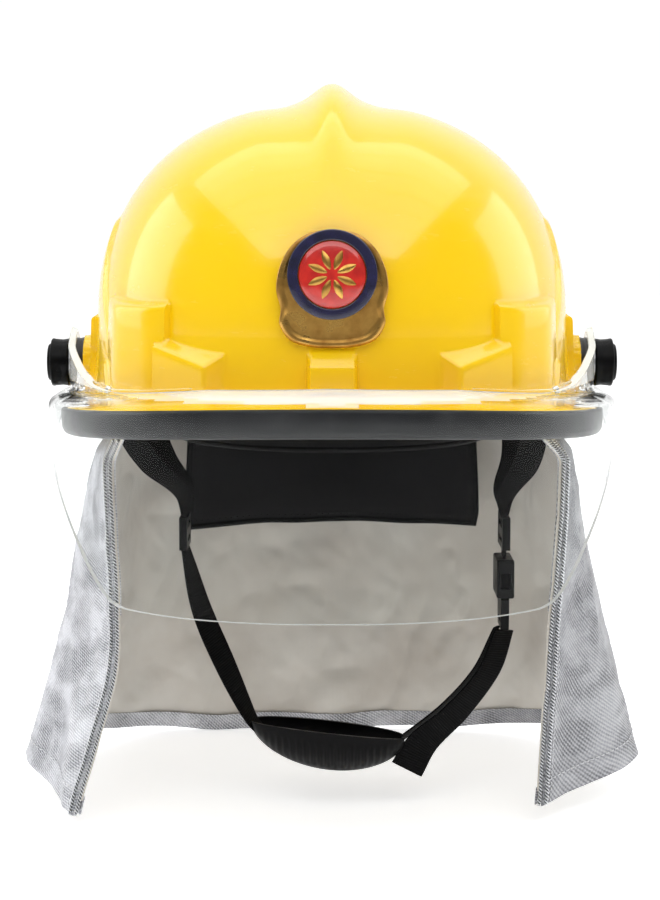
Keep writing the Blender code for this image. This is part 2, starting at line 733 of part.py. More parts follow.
def make_ratchet():
    rack("headband_tail_upper", 1, "band_plastic")
    rack("headband_tail_lower", -1, "band_plastic")
    gear = []
    for k in range(PINION_TEETH):
        middle = 2 * math.pi * (k + 0.5) / PINION_TEETH
        half = math.pi / PINION_TEETH * TOOTH_SLIM * 2
        for radius, turn in (
            (PITCH_RADIUS - TOOTH_ROOT, -half * 1.25), (PITCH_RADIUS, -half * 0.9), (
                PITCH_RADIUS + TOOTH_HEIGHT, -half * 0.45,
            ),
            (
                PITCH_RADIUS + TOOTH_HEIGHT, half * 0.45,
            ), (PITCH_RADIUS, half * 0.9), (PITCH_RADIUS - TOOTH_ROOT, half * 1.25),
        ):
            gear.append((radius * math.sin(middle + turn), RATCHET_Z + radius * math.cos(middle + turn)))
    prism(
        "ratchet_pinion", [(x, RATCHET_Y - 0.6, z) for x, z in gear],
        [(x, RATCHET_Y + 2.6, z) for x, z in gear], "band_plastic",
    )
    box("ratchet_base", (-33, RATCHET_Y - 3.0, 2.0), (33, RATCHET_Y - 1.0, 30.0), "band_plastic", 0.6)
    cover = box("ratchet_cover", (-33, RATCHET_Y + 3.4, 2.0), (33, RATCHET_Y + 6.0, 30.0), "band_plastic")
    hole = turned(
        "cut_cover", [(-8, 0), (-8, 4.4), (8, 4.4), (8, 0)], (0, RATCHET_Y + 4.7, RATCHET_Z), "Y", steps=20,
    )
    combine(cover, hole, "DIFFERENCE")
    for side in (-1, 1):
        rail = box(
            f"cover_rail_{side}", (side * 29.0 - 2.5, RATCHET_Y - 0.6, 2.0),
            (side * 29.0 + 2.5, RATCHET_Y + 4.0, 4.9),
        )
        combine(cover, rail, "UNION")
    knob = []
    flutes = 18
    for k in range(flutes * 2):
        radius = 13.0 if k % 2 else 12.2
        turn = math.pi * k / flutes
        knob.append((radius * math.cos(turn), radius * math.sin(turn)))
    at = RATCHET_Y + 6.0 + GAP
    sections = [
        [(x * s, at + d, RATCHET_Z + z * s) for x, z in knob]
        for d, s in ((0, 0.94), (1, 1.0), (7.5, 0.98), (9.0, 0.86))
    ]
    body = loft_solid("ratchet_knob", sections, "band_plastic")
    shaft = turned(
        "knob_shaft", [(-3.4, 0), (-3.4, 4.0), (2, 4.0), (2, 0)], (0, at, RATCHET_Z), "Y", steps=20,
    )
    combine(body, shaft, "UNION")


def make_hangers():
    """Hangers clip behind the shell's bosses, hold the headband out from it and carry the crown straps."""
    for name, degrees in HANGER_ANGLES.items():
        turn = math.radians(degrees)
        outer = wall_reach(turn, 36.0, SHELL_WALL) - 2.8
        x, y, _ = wall_point(turn, 36.0, SHELL_WALL)
        away = Vector((x, y, 0)).normalized()
        side = Vector((-away.y, away.x, 0))
        band_x, band_y, _ = band_point(turn, 0.0, 0.0)
        inner = math.hypot(band_x, band_y) + 1.3
        foot = 31.5 if name == "rear" else 13.0
        outline = [
            (outer, 25), (outer, 43), (outer - 3, 43), (outer - 3, 33), (inner + 3, 36), (inner, 36),
            (inner, foot), (inner + 3, foot), (inner + 3, 32.5), (outer - 3, 28),
        ]
        if name == "rear":
            outline = [
                (outer, 25), (outer, 43), (outer - 3, 43), (outer - 3, 36), (inner, 36), (inner, 32.5),
                (outer - 3, 31),
            ]
        half = 9.0
        sections = [
            [tuple(away * r + side * s + Vector((0, 0, z))) for r, z in outline] for s in (-half, half)
        ]
        loft_solid(f"hanger_{name}", sections, "band_plastic")


def make_crown():
    """Three straps cross over the head, one on top of another, above a round pad."""
    names = (("crown_strap_centre", 0, 0), ("crown_strap_left", 1, 50), ("crown_strap_right", 2, -50))
    for name, layer, degrees in names:
        turn = math.radians(degrees)
        direction = Vector(plan(turn, 1, 1, 1, 2)).to_3d()
        side = Vector((-direction.y, direction.x, 0))
        knots = []
        for k in range(25):
            swing = math.pi * (k / 24 - 0.5)
            end = turn if swing < 0 else turn + math.pi
            reach = wall_reach(end, LINER_LOW, SHELL_WALL + 1 + LINER_WALL) - 5.6
            flat = math.copysign(abs(math.sin(swing)) ** (2 / 2.3), -swing)
            rise = abs(math.cos(swing)) ** (2 / 2.3)
            top = 131.0 + 2.4 * layer
            knots.append(direction * flat * reach + Vector((0, 0, 38.0 + (top - 38.0) * rise)))
        ribbon(name, knots, side, 20.0, STRAP_WALL, "webbing")
    pad = [(121.0, 0), (119.0, 20), (115.5, 33), (117.0, 35), (121.5, 33.5), (125.2, 20), (127.0, 0)]
    turned("crown_pad", pad, (0, 0, 0), "Z", "pad_leather", 28)


def make_nape_pad():
    def pad_row(z, y_shift, half, count=15):
        return [
            (half * (2 * k / (count - 1) - 1), 101.0 + y_shift - 20.0 * (2 * k / (count - 1) - 1) ** 2, z)
            for k in range(count)
        ]

    heights = ((-2.0, 80.0), (-20.0, 81.0), (-40.0, 82.0), (-58.0, 82.5), (-66.0, 81.0))
    front = [pad_row(z, 0.0, half) for z, half in heights]
    back = [pad_row(z, 4.0, half) for z, half in heights]
    sheet_solid("nape_pad", front, back, "pad_leather")
    box("nape_pad_hanger", (-24, 95.4, -14.0), (24, 97.8, 28.0), "webbing")


# ------------------------------------------------------------------------------------- chin harness

def make_chin_harness():
    for side, name in ((-1, "right"), (1, "left")):
        slider_x = RIGHT_SLIDER_X if side == -1 else LEFT_SLIDER_X
        for end, y in (("front", -40.0), ("rear", 52.0)):
            reach = DOME_FRONT if y < 0 else DOME_REAR
            wall_x = (DOME_WIDE - SHELL_WALL) * (1 - (abs(y) / reach) ** PLAN_POWER) ** (1 / PLAN_POWER)
            top = Vector((side * (wall_x - 8.0), y, 22.0))
            middle = Vector((side * (wall_x - 10.0), y * 0.86 + HARNESS_Y * 0.14, 2.0))
            foot = Vector((slider_x + side * 1.0, HARNESS_Y + math.copysign(8.0, y - HARNESS_Y), LEG_END_Z))
            path = smooth_path([top, middle, middle.lerp(foot, 0.55) + Vector((side * 2.0, 0, 0)), foot], 9)
            ribbon(f"{name}_{end}_leg", path, (0, 1, 0), WEB_WIDE * 0.8, WEB_WALL, "webbing")
            rivet_x = wall_x - 8.0
            turned(
                f"{name}_{end}_rivet",
                [(side * a, r) for a, r in ((-2.0, 0), (-2.0, 3.8), (-3.4, 3.4), (-4.2, 2.0), (-4.2, 0))],
                (side * rivet_x, y, 20.0), "X", "steel", 16,
            )
        slider = box(
            f"{name}_slider", (slider_x - 2.0, HARNESS_Y - 15, HARNESS_Z + GAP),
            (slider_x + 2.0, HARNESS_Y + 15, HARNESS_Z + 17.0), "buckle_plastic",
        )
        for low, high in ((3.5, 6.0), (11.0, 13.5)):
            slot = box(
                f"cut_{name}_slider_{low}", (slider_x - 6, HARNESS_Y - 11, HARNESS_Z + low),
                (slider_x + 6, HARNESS_Y + 11, HARNESS_Z + high),
            )
            combine(slider, slot, "DIFFERENCE")
    make_chin_straps()
    make_buckle()
    make_chin_cup()


def make_chin_straps():
    """The webbing turns from lying across Y at the sliders to a slant at the cup. The tail lies outside it."""
    y = HARNESS_Y
    start = Vector((RIGHT_SLIDER_X, y, HARNESS_Z - GAP))
    path = smooth_path(
        [start, (-68.0, y, -93.0), (-56.0, y, -122.0), CUP_RIGHT_END + Vector((-1.0, 0, 2.0))], 10,
    )
    ribbon("right_chin_strap", path, (0.5, 0.85, 0), WEB_WIDE, WEB_WALL, "webbing", (0.0, 1, 0))
    start = Vector((LEFT_SLIDER_X, y, HARNESS_Z - GAP))
    path = smooth_path([start, BUCKLE_TOP + Vector((0, 0, GAP))], 3)
    ribbon("left_short_strap", path, (0, 1, 0), WEB_WIDE, WEB_WALL, "webbing")
    start = BUCKLE_END + Vector((-0.5, 0.0, -GAP))
    path = smooth_path(
        [start, (76.0, y, -124.0), (60.0, y, -143.0), CUP_LEFT_END + Vector((1.5, 0, 1.0))], 10,
    )
    ribbon("left_chin_strap", path, (0.5, 0.85, 0), WEB_WIDE, WEB_WALL, "webbing", (0.3, 1, 0))
    start = BUCKLE_END + Vector((3.5, 0.0, -1.8))
    path = smooth_path(
        [start, (81.5, y, -127.0), (65.0, y - 1, -148.0), (47.5, y - 3, -164.0), (39.0, y - 4, -178.0)], 12,
    )
    ribbon("strap_tail", path, (0.5, 0.85, 0), WEB_WIDE, WEB_WALL, "webbing", (0.3, 1, 0))


def make_buckle():
    """Side-release buckle: a socket, open on both sides, and a clip with a spine and two sprung arms."""
    x, y = BUCKLE_TOP.x, HARNESS_Y
    socket = box(
        "buckle_socket", (x - 4.5, y - 13, -86), (x + 4.5, y + 13, BUCKLE_TOP.z), "buckle_plastic", 1.0,
    )
    room = box("cut_socket_room", (x - 2.6, y - 10.5, -95), (x + 2.6, y + 10.5, -71))
    windows = box("cut_socket_windows", (x - 2.6, y - 20, -81), (x + 2.6, y + 20, -73))
    combine(socket, room, "DIFFERENCE")
    combine(socket, windows, "DIFFERENCE")
    outline = [
        (-10, -102.6), (10, -102.6), (11, -96), (11, -87), (9.6, -86.5), (9.8, -80.5), (10.2, -78.5),
        (8.6, -73.5), (6.8, -74.5), (6.6, -86), (1.6, -87), (1.6, -74), (-1.6, -74), (-1.6, -87),
        (-6.6, -86), (-6.8, -74.5), (-8.6, -73.5), (-10.2, -78.5), (-9.8, -80.5), (-9.6, -86.5),
        (-11, -87), (-11, -96),
    ]
    low = [(x - 2.1, y + a, z) for a, z in outline]
    high = [(x + 2.1, y + a, z) for a, z in outline]
    clip = prism("buckle_clip", low, high, "buckle_plastic")
    slot = box("cut_clip_slot", (x - 8, y - 8, -99.5), (x + 8, y + 8, -97))
    combine(clip, slot, "DIFFERENCE")


def make_chin_cup():
    """A shallow trough across the chin, higher in front, with its ends drawn up to the strap slots."""
    wall = 2.2
    outer, inner = [], []
    columns = 13
    for k in range(columns):
        share = 2 * k / (columns - 1) - 1
        middle = (CUP_RIGHT_END + CUP_LEFT_END) / 2
        x = middle.x + share * 39.0
        rim = CUP_RIGHT_END.z + (CUP_LEFT_END.z - CUP_RIGHT_END.z) * (share + 1) / 2 - 1.0
        sag = 19.0 * (1 - share * share) ** 0.62 + 2.5
        half = 10.5 + 10.5 * (1 - share * share) ** 0.5
        row_out, row_in = [], []
        for j in range(7):
            swing = math.radians(-92 + 184 * j / 6)
            y_out, z_out = half * math.sin(swing), -sag * math.cos(swing)
            lift = 2.0 if swing < 0 else -1.0
            row_out.append((x, HARNESS_Y + y_out, rim + z_out + lift * abs(math.sin(swing)) ** 3))
            shrink = (half - wall) / half, (sag - wall) / sag
            row_in.append(
                (
                    x, HARNESS_Y + y_out * shrink[0],
                    rim + z_out * shrink[1] + lift * abs(math.sin(swing)) ** 3,
                )
            )
        outer.append(row_out)
        inner.append(row_in)
    sheet_solid("chin_cup", outer, inner, "buckle_plastic")


# ------------------------------------------------------------------------------------- neck cape

CAPE_COLUMNS = 25
CAPE_TOP_FROM = 70.0  # turn in degrees where its front edge meets the shell's wall
CAPE_TOP_SETBACK = 2.6  # from the wall's inner face
CAPE_BELT_KNOTS = (
    (-113, -34), (-122, -4), (-122, 48), (-106, 98), (-62, 134), (0, 146), (62, 134), (106, 98), (122, 48),
    (123, -4), (118, -34),
)
CAPE_LOW_KNOTS = (
    (-110, -40), (-136, 0), (-138, 55), (-120, 112), (-70, 144), (0, 151), (70, 144), (120, 112), (138, 55),
    (136, 0), (112, -42),
)
CAPE_HEM_KNOTS = (
    (-132, -42), (-161, 14), (-156, 70), (-134, 128), (-74, 157), (0, 158), (74, 157), (134, 128),
    (155, 70), (158, 14), (107, -42),
)
CAPE_HEM_Z = (
    (0.0, -195), (0.12, -180), (0.25, -186), (0.4, -199), (0.6, -196), (0.75, -184), (0.88, -178),
    (1.0, -190),
)


def cape_grid(inset):
    """Rows from the fastening strip down to the hem, each from the right front edge round to the left."""
    rows = []
    turns = [math.radians(-CAPE_TOP_FROM - (360 - 2 * CAPE_TOP_FROM) * k / 10) for k in range(11)]
    top = [wall_point(t, CAPE_TOP_Z, SHELL_WALL + CAPE_TOP_SETBACK)[:2] for t in turns]
    lines = (top, top, CAPE_BELT_KNOTS, CAPE_LOW_KNOTS, CAPE_HEM_KNOTS)
    levels = (0.0, 0.10, 0.18, 0.58, 1.0)
    paths = [smooth_path([(*knot, 0.0) for knot in line], CAPE_COLUMNS) for line in lines]
    for share in (0.0, 0.1, 0.18, 0.3, 0.44, 0.58, 0.78, 1.0):
        row = []
        for column in range(CAPE_COLUMNS):
            along = column / (CAPE_COLUMNS - 1)
            depth = between(share, [(level, i) for i, level in enumerate(levels)])
            i = min(int(depth), len(paths) - 2)
            point = paths[i][column].lerp(paths[i + 1][column], depth - i)
            before = paths[i][max(0, column - 1)].lerp(paths[i + 1][max(0, column - 1)], depth - i)
            last = CAPE_COLUMNS - 1
            after = paths[i][min(last, column + 1)].lerp(paths[i + 1][min(last, column + 1)], depth - i)
            tangent = (after - before).normalized()
            inwards = Vector((tangent.y, -tangent.x, 0))
            hem = between(along, CAPE_HEM_Z)
            z = CAPE_TOP_Z + (hem - CAPE_TOP_Z) * share
            moved = point + inwards * inset
            row.append((moved.x, moved.y, z))
        rows.append(row)
    return rows


def make_cape():
    sheet_solid("cape_outer", cape_grid(0.0), cape_grid(CAPE_WALL), "cape_silver")
    sheet_solid("cape_lining", cape_grid(CAPE_WALL + GAP), cape_grid(2 * CAPE_WALL + GAP), "cape_lining")
    for side, column, name in ((-1, 0, "right"), (1, -1, "left")):
        edge = [Vector(row[column]) for row in cape_grid(CAPE_WALL * 1.2)]
        path = smooth_path([p + Vector((side * -1.0, -3.8, 0)) for p in edge[2:]], 18)
        ribbon(f"cape_front_hem_{name}", path, (1, 0, 0), 4.0, 3.6, "cape_silver")


PIVOT = (0, 0, PIVOT_Z)
SWING = (0, HARNESS_Y, SWING_Z)
RATCHET = (0, RATCHET_Y, RATCHET_Z)
JOINT_ORIGINS = {
    PIVOT: ("visor", "left_slip_washer", "right_slip_washer", "left_pivot_knob", "right_pivot_knob"),
    SWING: (
        "right_slider", "left_slider", "left_short_strap", "buckle_socket", "buckle_clip", "left_chin_strap",
        "strap_tail", "right_chin_strap", "chin_cup",
    ),
    RATCHET: ("ratchet_knob", "ratchet_pinion"),
}


def build():
    clear_scene()
    make_shell()
    make_brim_trim()
    make_liner()
    make_badge()
    make_visor()
    make_pivots()
    make_headband()
    make_ratchet()
    make_hangers()
    make_crown()
    make_nape_pad()
    make_chin_harness()
    make_cape()
    for origin, names in JOINT_ORIGINS.items():
        for name in names:
            set_origin(bpy.data.objects[name], origin)


build()
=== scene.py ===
"""Looks of the firefighter helmet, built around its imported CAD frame.

Shapes are worked out in millimetres, in the frame's own axes: +Z up, the helmet's front towards -Y, the visor's
pivots on a line along X. mesh_piece() turns millimetres into metres."""

import json
import math

import bmesh
import bpy
import numpy as np
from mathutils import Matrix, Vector


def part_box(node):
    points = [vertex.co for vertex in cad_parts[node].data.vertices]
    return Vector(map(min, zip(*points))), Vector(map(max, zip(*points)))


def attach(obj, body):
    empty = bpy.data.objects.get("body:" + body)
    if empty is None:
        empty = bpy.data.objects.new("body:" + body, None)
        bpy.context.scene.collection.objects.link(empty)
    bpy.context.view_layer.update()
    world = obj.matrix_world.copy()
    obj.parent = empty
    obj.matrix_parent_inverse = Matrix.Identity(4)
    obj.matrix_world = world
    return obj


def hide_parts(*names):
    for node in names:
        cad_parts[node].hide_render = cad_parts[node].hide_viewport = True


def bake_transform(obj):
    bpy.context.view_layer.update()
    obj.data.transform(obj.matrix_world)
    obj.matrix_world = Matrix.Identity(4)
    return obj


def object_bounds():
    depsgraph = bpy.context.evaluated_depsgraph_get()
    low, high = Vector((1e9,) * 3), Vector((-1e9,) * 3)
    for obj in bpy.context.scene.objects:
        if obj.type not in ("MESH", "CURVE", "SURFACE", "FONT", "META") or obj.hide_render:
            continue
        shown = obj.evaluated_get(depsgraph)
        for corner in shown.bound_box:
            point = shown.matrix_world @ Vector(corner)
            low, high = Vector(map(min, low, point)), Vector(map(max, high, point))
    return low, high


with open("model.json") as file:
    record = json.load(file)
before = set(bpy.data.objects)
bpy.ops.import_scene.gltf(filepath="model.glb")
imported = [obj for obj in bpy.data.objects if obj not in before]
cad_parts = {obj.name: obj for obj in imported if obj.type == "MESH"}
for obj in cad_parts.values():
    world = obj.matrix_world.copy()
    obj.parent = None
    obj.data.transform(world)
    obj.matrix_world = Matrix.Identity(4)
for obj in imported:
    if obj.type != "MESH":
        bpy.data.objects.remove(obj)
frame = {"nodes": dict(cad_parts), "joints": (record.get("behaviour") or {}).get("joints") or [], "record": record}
CAD_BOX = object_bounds()

MM = 0.001
WELD_WITHIN = 0.01
SIDES = ((-1, "right"), (1, "left"))  # the wearer's


def cad_box(node):
    """A CAD node's lowest and highest corners, in millimetres."""
    low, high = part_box(node)
    return np.array(low) / MM, np.array(high) / MM


# ---------------------------------------- driving dimensions

PIVOT_Z = 1000 * next(j for j in frame["joints"] if j["name"] == "visor_tilt")["pos_m"][2]

# The dome and the brim repeat the CAD's superellipses.
DOME_WIDE, DOME_FRONT, DOME_REAR = 118.0, 128.0, 134.0
DOME_LEVEL, DOME_RISE = 54.0, 112.0
PLAN_POWER, PROFILE_POWER = 2.1, 2.3
DRAFT = 0.0006
SHELL_WALL = 3.4
BRIM_WIDE, BRIM_FRONT, BRIM_REAR = 135.5, 158.0, 157.0
BRIM_SIDE_Z, BRIM_FRONT_RISE, BRIM_REAR_DROP, BRIM_ROOT_RISE = 14.5, 10.5, 5.0, 4.0
BRIM_PLATE = 3.2
LIP_DROP = 10.0
HUB = np.array([0.0, 0.0, 30.0])  # the shell's surface is seen whole from here

RIDGE_HEIGHT, RIDGE_SPREAD = 9.5, 11.4

VISOR_WIDE, VISOR_REACH, VISOR_SET = 142.5, 152.0, 15.0
VISOR_WALL = 2.4
EAR_X, EAR_RADIUS = 132.6, 16.5

HARNESS_Y = -10.0
WEB_WIDE, WEB_WALL = 19.0, 1.7


# ---------------------------------------- mesh helpers

def add_object(name, data):
    obj = bpy.data.objects.new(name, data)
    bpy.context.scene.collection.objects.link(obj)
    return obj


def mesh_piece(name, points, faces, material, sharp=None):
    """A smooth piece from points in millimetres. Edges that bend by more than sharp, in degrees, stay
    sharp."""
    mesh = bpy.data.meshes.new(name)
    mesh.from_pydata([tuple(float(c) * MM for c in p) for p in points], [], [tuple(f) for f in faces])
    work = bmesh.new()
    work.from_mesh(mesh)
    bmesh.ops.recalc_face_normals(work, faces=work.faces)
    work.to_mesh(mesh)
    work.free()
    mesh.materials.append(material)
    mesh.shade_smooth()
    if sharp:
        mesh.set_sharp_from_angle(angle=math.radians(sharp))
    return add_object(name, mesh)


def place(obj, body, slot, *nodes):
    """Rides a finished piece on a body, and hides the CAD nodes that it stands for. Its slot is not
    used."""
    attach(obj, body)
    if nodes:
        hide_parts(*nodes)
    return obj


def grid_faces(rows, columns, wrap_columns=False, wrap_rows=False):
    """Four-sided faces between the points of a grid, which may close on itself either way."""
    across = columns if wrap_columns else columns - 1
    down = rows if wrap_rows else rows - 1
    faces = []
    for r in range(down):
        for c in range(across):
            d, e = (r + 1) % rows, (c + 1) % columns
            faces.append((r * columns + c, r * columns + e, d * columns + e, d * columns + c))
    return faces


def grid_piece(name, grid, material, wrap_rows=False, caps=False, sharp=60):
    """A piece from a rows x columns x 3 array of rings. caps closes the first and last rings."""
    grid = np.asarray(grid, float)
    rows, columns = grid.shape[:2]
    faces = grid_faces(rows, columns, True, wrap_rows)
    if caps:
        faces.append(tuple(range(columns)))
        faces.append(tuple(range((rows - 1) * columns, rows * columns)))
    return mesh_piece(name, grid.reshape(-1, 3), faces, material, sharp)


def add_tube(points, faces, rings):
    """Adds a tube with closed ends, given by its rings, to a piece made of many tubes."""
    rows, steps = rings.shape[:2]
    start = len(points)
    last = start + (rows - 1) * steps
    points += list(rings.reshape(-1, 3))
    faces += [tuple(start + i for i in f) for f in grid_faces(rows, steps, True)]
    faces += [tuple(range(start, start + steps)), tuple(range(last, last + steps))]


def circles(side, lift, steps, flat=1.0):
    """A circle of radius 1 for each pair of directions. flat squeezes it along the first."""
    turns = np.linspace(0, math.tau, steps, endpoint=False)[None, :, None]
    return side[:, None] * np.cos(turns) * flat + lift[:, None] * np.sin(turns)


def lay_uv(obj, per_point):
    """Gives each corner of a mesh its point's place in the weave, in metres."""
    layer = obj.data.uv_layers.new(name="weave")
    index = np.zeros(len(obj.data.loops), int)
    obj.data.loops.foreach_get("vertex_index", index)
    layer.data.foreach_set("uv", per_point[index].astype(np.float32).ravel())


def closed_sheet(name, front, back, material, uv=None, sharp=50):
    """A closed sheet between two grids, with its side edges faced."""
    front, back = np.asarray(front, float), np.asarray(back, float)
    rows, columns = front.shape[:2]
    points = np.concatenate([front.reshape(-1, 3), back.reshape(-1, 3)])
    half = rows * columns
    faces = grid_faces(rows, columns)
    faces += [tuple(half + i for i in f) for f in grid_faces(rows, columns)]
    rim = list(range(columns))
    rim += [r * columns + columns - 1 for r in range(1, rows)]
    rim += [(rows - 1) * columns + c for c in range(columns - 2, -1, -1)]
    rim += [r * columns for r in range(rows - 2, 0, -1)]
    faces += [(a, b, half + b, half + a) for a, b in zip(rim, rim[1:] + rim[:1])]
    obj = mesh_piece(name, points, faces, material, sharp=sharp)
    if uv is not None:
        flat = np.asarray(uv, float).reshape(-1, 2)
        lay_uv(obj, np.concatenate([flat, flat]))
    return obj


def curve_through(knots, shares):
    """Points of a Catmull-Rom curve through the knots, at shares of the way from the first to the last."""
    knots = np.asarray(knots, float)
    ends = np.concatenate([[2 * knots[0] - knots[1]], knots, [2 * knots[-1] - knots[-2]]])
    spots = shares * (len(knots) - 1)
    i = np.minimum(spots.astype(int), len(knots) - 2)
    t = (spots - i)[:, None]
    a, b, c, d = ends[i], ends[i + 1], ends[i + 2], ends[i + 3]
    return 0.5 * (2 * b + (c - a) * t + (2 * a - 5 * b + 4 * c - d) * t**2 + (3 * b - a - 3 * c + d) * t**3)


def smooth_line(knots, count):
    """Points spaced evenly along a curve through the knots."""
    return even_line(curve_through(knots, np.linspace(0, 1, 40 * len(knots))), count)


def travelled(line):
    """The distance along a line to each of its points."""
    return np.concatenate([[0], np.cumsum(np.linalg.norm(np.diff(line, axis=0), axis=1))])


def travelled_down(grid):
    """The same down each column of a grid."""
    steps = np.linalg.norm(np.diff(grid, axis=0), axis=2)
    return np.concatenate([np.zeros((1, grid.shape[1])), np.cumsum(steps, axis=0)])


def points_along(line, lengths, wanted):
    return np.stack([np.interp(wanted, lengths, line[:, k]) for k in range(line.shape[1])], axis=1)


def even_line(dense, count):
    """The same line with its points spaced evenly by length."""
    dense = np.asarray(dense, float)
    lengths = travelled(dense)
    return points_along(dense, lengths, np.linspace(0, lengths[-1], count))


def line_length(line):
    return float(np.linalg.norm(np.diff(np.asarray(line), axis=0), axis=1).sum())


def unit(vectors):
    vectors = np.asarray(vectors, float)
    return vectors / np.maximum(np.linalg.norm(vectors, axis=-1, keepdims=True), 1e-9)


def tangents(line):
    return unit(np.gradient(np.asarray(line, float), axis=0))


def smoothstep(low, high, value):
    t = np.clip((value - low) / (high - low), 0.0, 1.0)
    return t * t * (3 - 2 * t)


def smooth_table(value, table):
    """Monotone interpolation in a table of (value, result), with its corners rounded."""
    xs, ys = np.array(table, float).T
    wide = (xs[-1] - xs[0]) * 0.012
    around = np.linspace(-1, 1, 9)
    return np.mean([np.interp(np.asarray(value) + wide * a, xs, ys) for a in around], axis=0)


def turned(name, profile, material, steps):
    """A solid of revolution about the pivots' line, from its outline of (place along the line, radius)."""
    turns = np.linspace(0, math.tau, steps, endpoint=False)
    along = np.repeat(profile[:, :1], steps, axis=1)
    round_line = profile[:, 1:] * np.cos(turns), profile[:, 1:] * np.sin(turns) + PIVOT_Z
    return weld(
        grid_piece(name, np.stack([along, *round_line], axis=-1), material, wrap_rows=True, sharp=40)
    )


def weld(obj):
    """Joins points that lie on each other, such as a pole's."""
    work = bmesh.new()
    work.from_mesh(obj.data)
    bmesh.ops.remove_doubles(work, verts=work.verts, dist=WELD_WITHIN * MM)
    bmesh.ops.dissolve_degenerate(work, edges=work.edges, dist=1e-7)
    bmesh.ops.recalc_face_normals(work, faces=work.faces)
    work.to_mesh(obj.data)
    work.free()
    return obj


def round_corners(profile, radius, steps=4):
    """An open or closed outline with each corner replaced by a short arc."""
    profile = np.asarray(profile, float)
    made = [profile[0]]
    for before, here, after in zip(profile, profile[1:], profile[2:]):
        to_before, to_after = unit(before - here), unit(after - here)
        reach = min(radius, 0.45 * np.linalg.norm(before - here), 0.45 * np.linalg.norm(after - here))
        a, b = here + to_before * reach, here + to_after * reach
        for k in range(steps + 1):
            t = k / steps
            made.append((1 - t) ** 2 * a + 2 * t * (1 - t) * here + t * t * b)
    made.append(profile[-1])
    return np.array(made)


# ---------------------------------------- material helpers

class Graph:
    """A new material, and short calls for the nodes that the materials share."""

    def __init__(self, name, colour, roughness, metallic=0.0, **sockets):
        self.material = bpy.data.materials.new(name)
        self.material.use_nodes = True
        self.tree = self.material.node_tree
        self.shader = self.tree.nodes["Principled BSDF"]
        self.coords = self.tree.nodes.new("ShaderNodeTexCoord")
        sockets.update({"Base Color": colour, "Roughness": roughness, "Metallic": metallic})
        for label, value in sockets.items():
            self.shader.inputs[label.replace("_", " ")].default_value = value

    def node(self, kind, inputs=(), **settings):
        made = self.tree.nodes.new(kind)
        for key, value in settings.items():
            setattr(made, key, value)
        for key, value in dict(inputs).items():
            self.feed(made.inputs[key], value)
        return made

    def feed(self, socket, value):
        if isinstance(value, bpy.types.NodeSocket):
            self.tree.links.new(value, socket)
        else:
            socket.default_value = value

    def space(self, where, scale=(1, 1, 1), degrees=0.0):
        """Object or UV coordinates, stretched and turned in their own plane."""
        inputs = {
            "Vector": self.coords.outputs[where], "Scale": scale, "Rotation": (0, 0, math.radians(degrees)),
        }
        return self.node("ShaderNodeMapping", inputs).outputs["Vector"]

    def noise(self, scale, detail=3.0, where=None, roughness=0.5):
        inputs = {"Vector": where or self.coords.outputs["Object"], "Scale": scale, "Detail": detail}
        inputs["Roughness"] = roughness
        return self.node("ShaderNodeTexNoise", inputs).outputs["Fac"]

    def cells(self, scale):
        inputs = {"Vector": self.coords.outputs["Object"], "Scale": scale}
        return self.node("ShaderNodeTexVoronoi", inputs).outputs["Distance"]

    def wave(self, scale, where, direction):
        inputs = {"Vector": where, "Scale": scale}
        return self.node("ShaderNodeTexWave", inputs, bands_direction=direction).outputs["Fac"]

    def times(self, a, b):
        return self.node("ShaderNodeMath", {0: a, 1: b}, operation="MULTIPLY").outputs[0]

    def plus(self, a, b):
        return self.node("ShaderNodeMath", {0: a, 1: b}, operation="ADD").outputs[0]

    def remap(self, value, low, high, to_low=0.0, to_high=1.0):
        inputs = {"Value": value, "From Min": low, "From Max": high, "To Min": to_low, "To Max": to_high}
        return self.node("ShaderNodeMapRange", inputs).outputs["Result"]

    def mix(self, share, a, b, how="MIX"):
        made = self.node("ShaderNodeMix", data_type="RGBA", blend_type=how)
        self.feed(made.inputs["Factor"], share)
        self.feed(made.inputs["A"], a)
        self.feed(made.inputs["B"], b)
        return made.outputs["Result"]

    def bump(self, height, strength, distance):
        """distance is in millimetres."""
        inputs = {"Height": height, "Strength": strength, "Distance": distance * MM}
        made = self.node("ShaderNodeBump", inputs)
        if self.shader.inputs["Normal"].links:
            self.tree.links.new(self.shader.inputs["Normal"].links[0].from_socket, made.inputs["Normal"])
        self.tree.links.new(made.outputs["Normal"], self.shader.inputs["Normal"])

    def colour(self, value):
        self.feed(self.shader.inputs["Base Color"], value)

    def roughness(self, value):
        self.feed(self.shader.inputs["Roughness"], value)


def rgb(r, g, b):
    """Linear colour with alpha, from an sRGB colour of 0 to 255."""
    parts = []
    for c in (r, g, b):
        c /= 255
        parts.append(c / 12.92 if c <= 0.04045 else ((c + 0.055) / 1.055) ** 2.4)
    return (*parts, 1.0)


# ---------------------------------------- materials

def shell_paint():
    """Moulded through-coloured plastic: a deep gloss with faint flow ripples, fine dust and light
    scuffs."""
    g = Graph("shell_yellow", rgb(252, 207, 8), 0.2, Coat_Weight=0.45, Coat_Roughness=0.03)
    for label, value in (("Weight", 0.06), ("Radius", (0.006, 0.004, 0.001)), ("Scale", 1.0)):
        g.shader.inputs["Subsurface " + label].default_value = value
    tone = g.remap(g.noise(9.0, 2.0), 0.35, 0.65)
    g.colour(g.mix(tone, rgb(253, 209, 9), rgb(250, 203, 5)))
    scuffs = g.noise(1.0, 6.0, g.space("Object", (60, 60, 240)), 0.65)
    g.roughness(g.remap(scuffs, 0.4, 0.8, 0.16, 0.34))
    g.bump(g.noise(14.0, 1.0), 0.12, 1.2)
    g.bump(g.noise(900.0, 2.0), 0.05, 0.06)
    return g.material


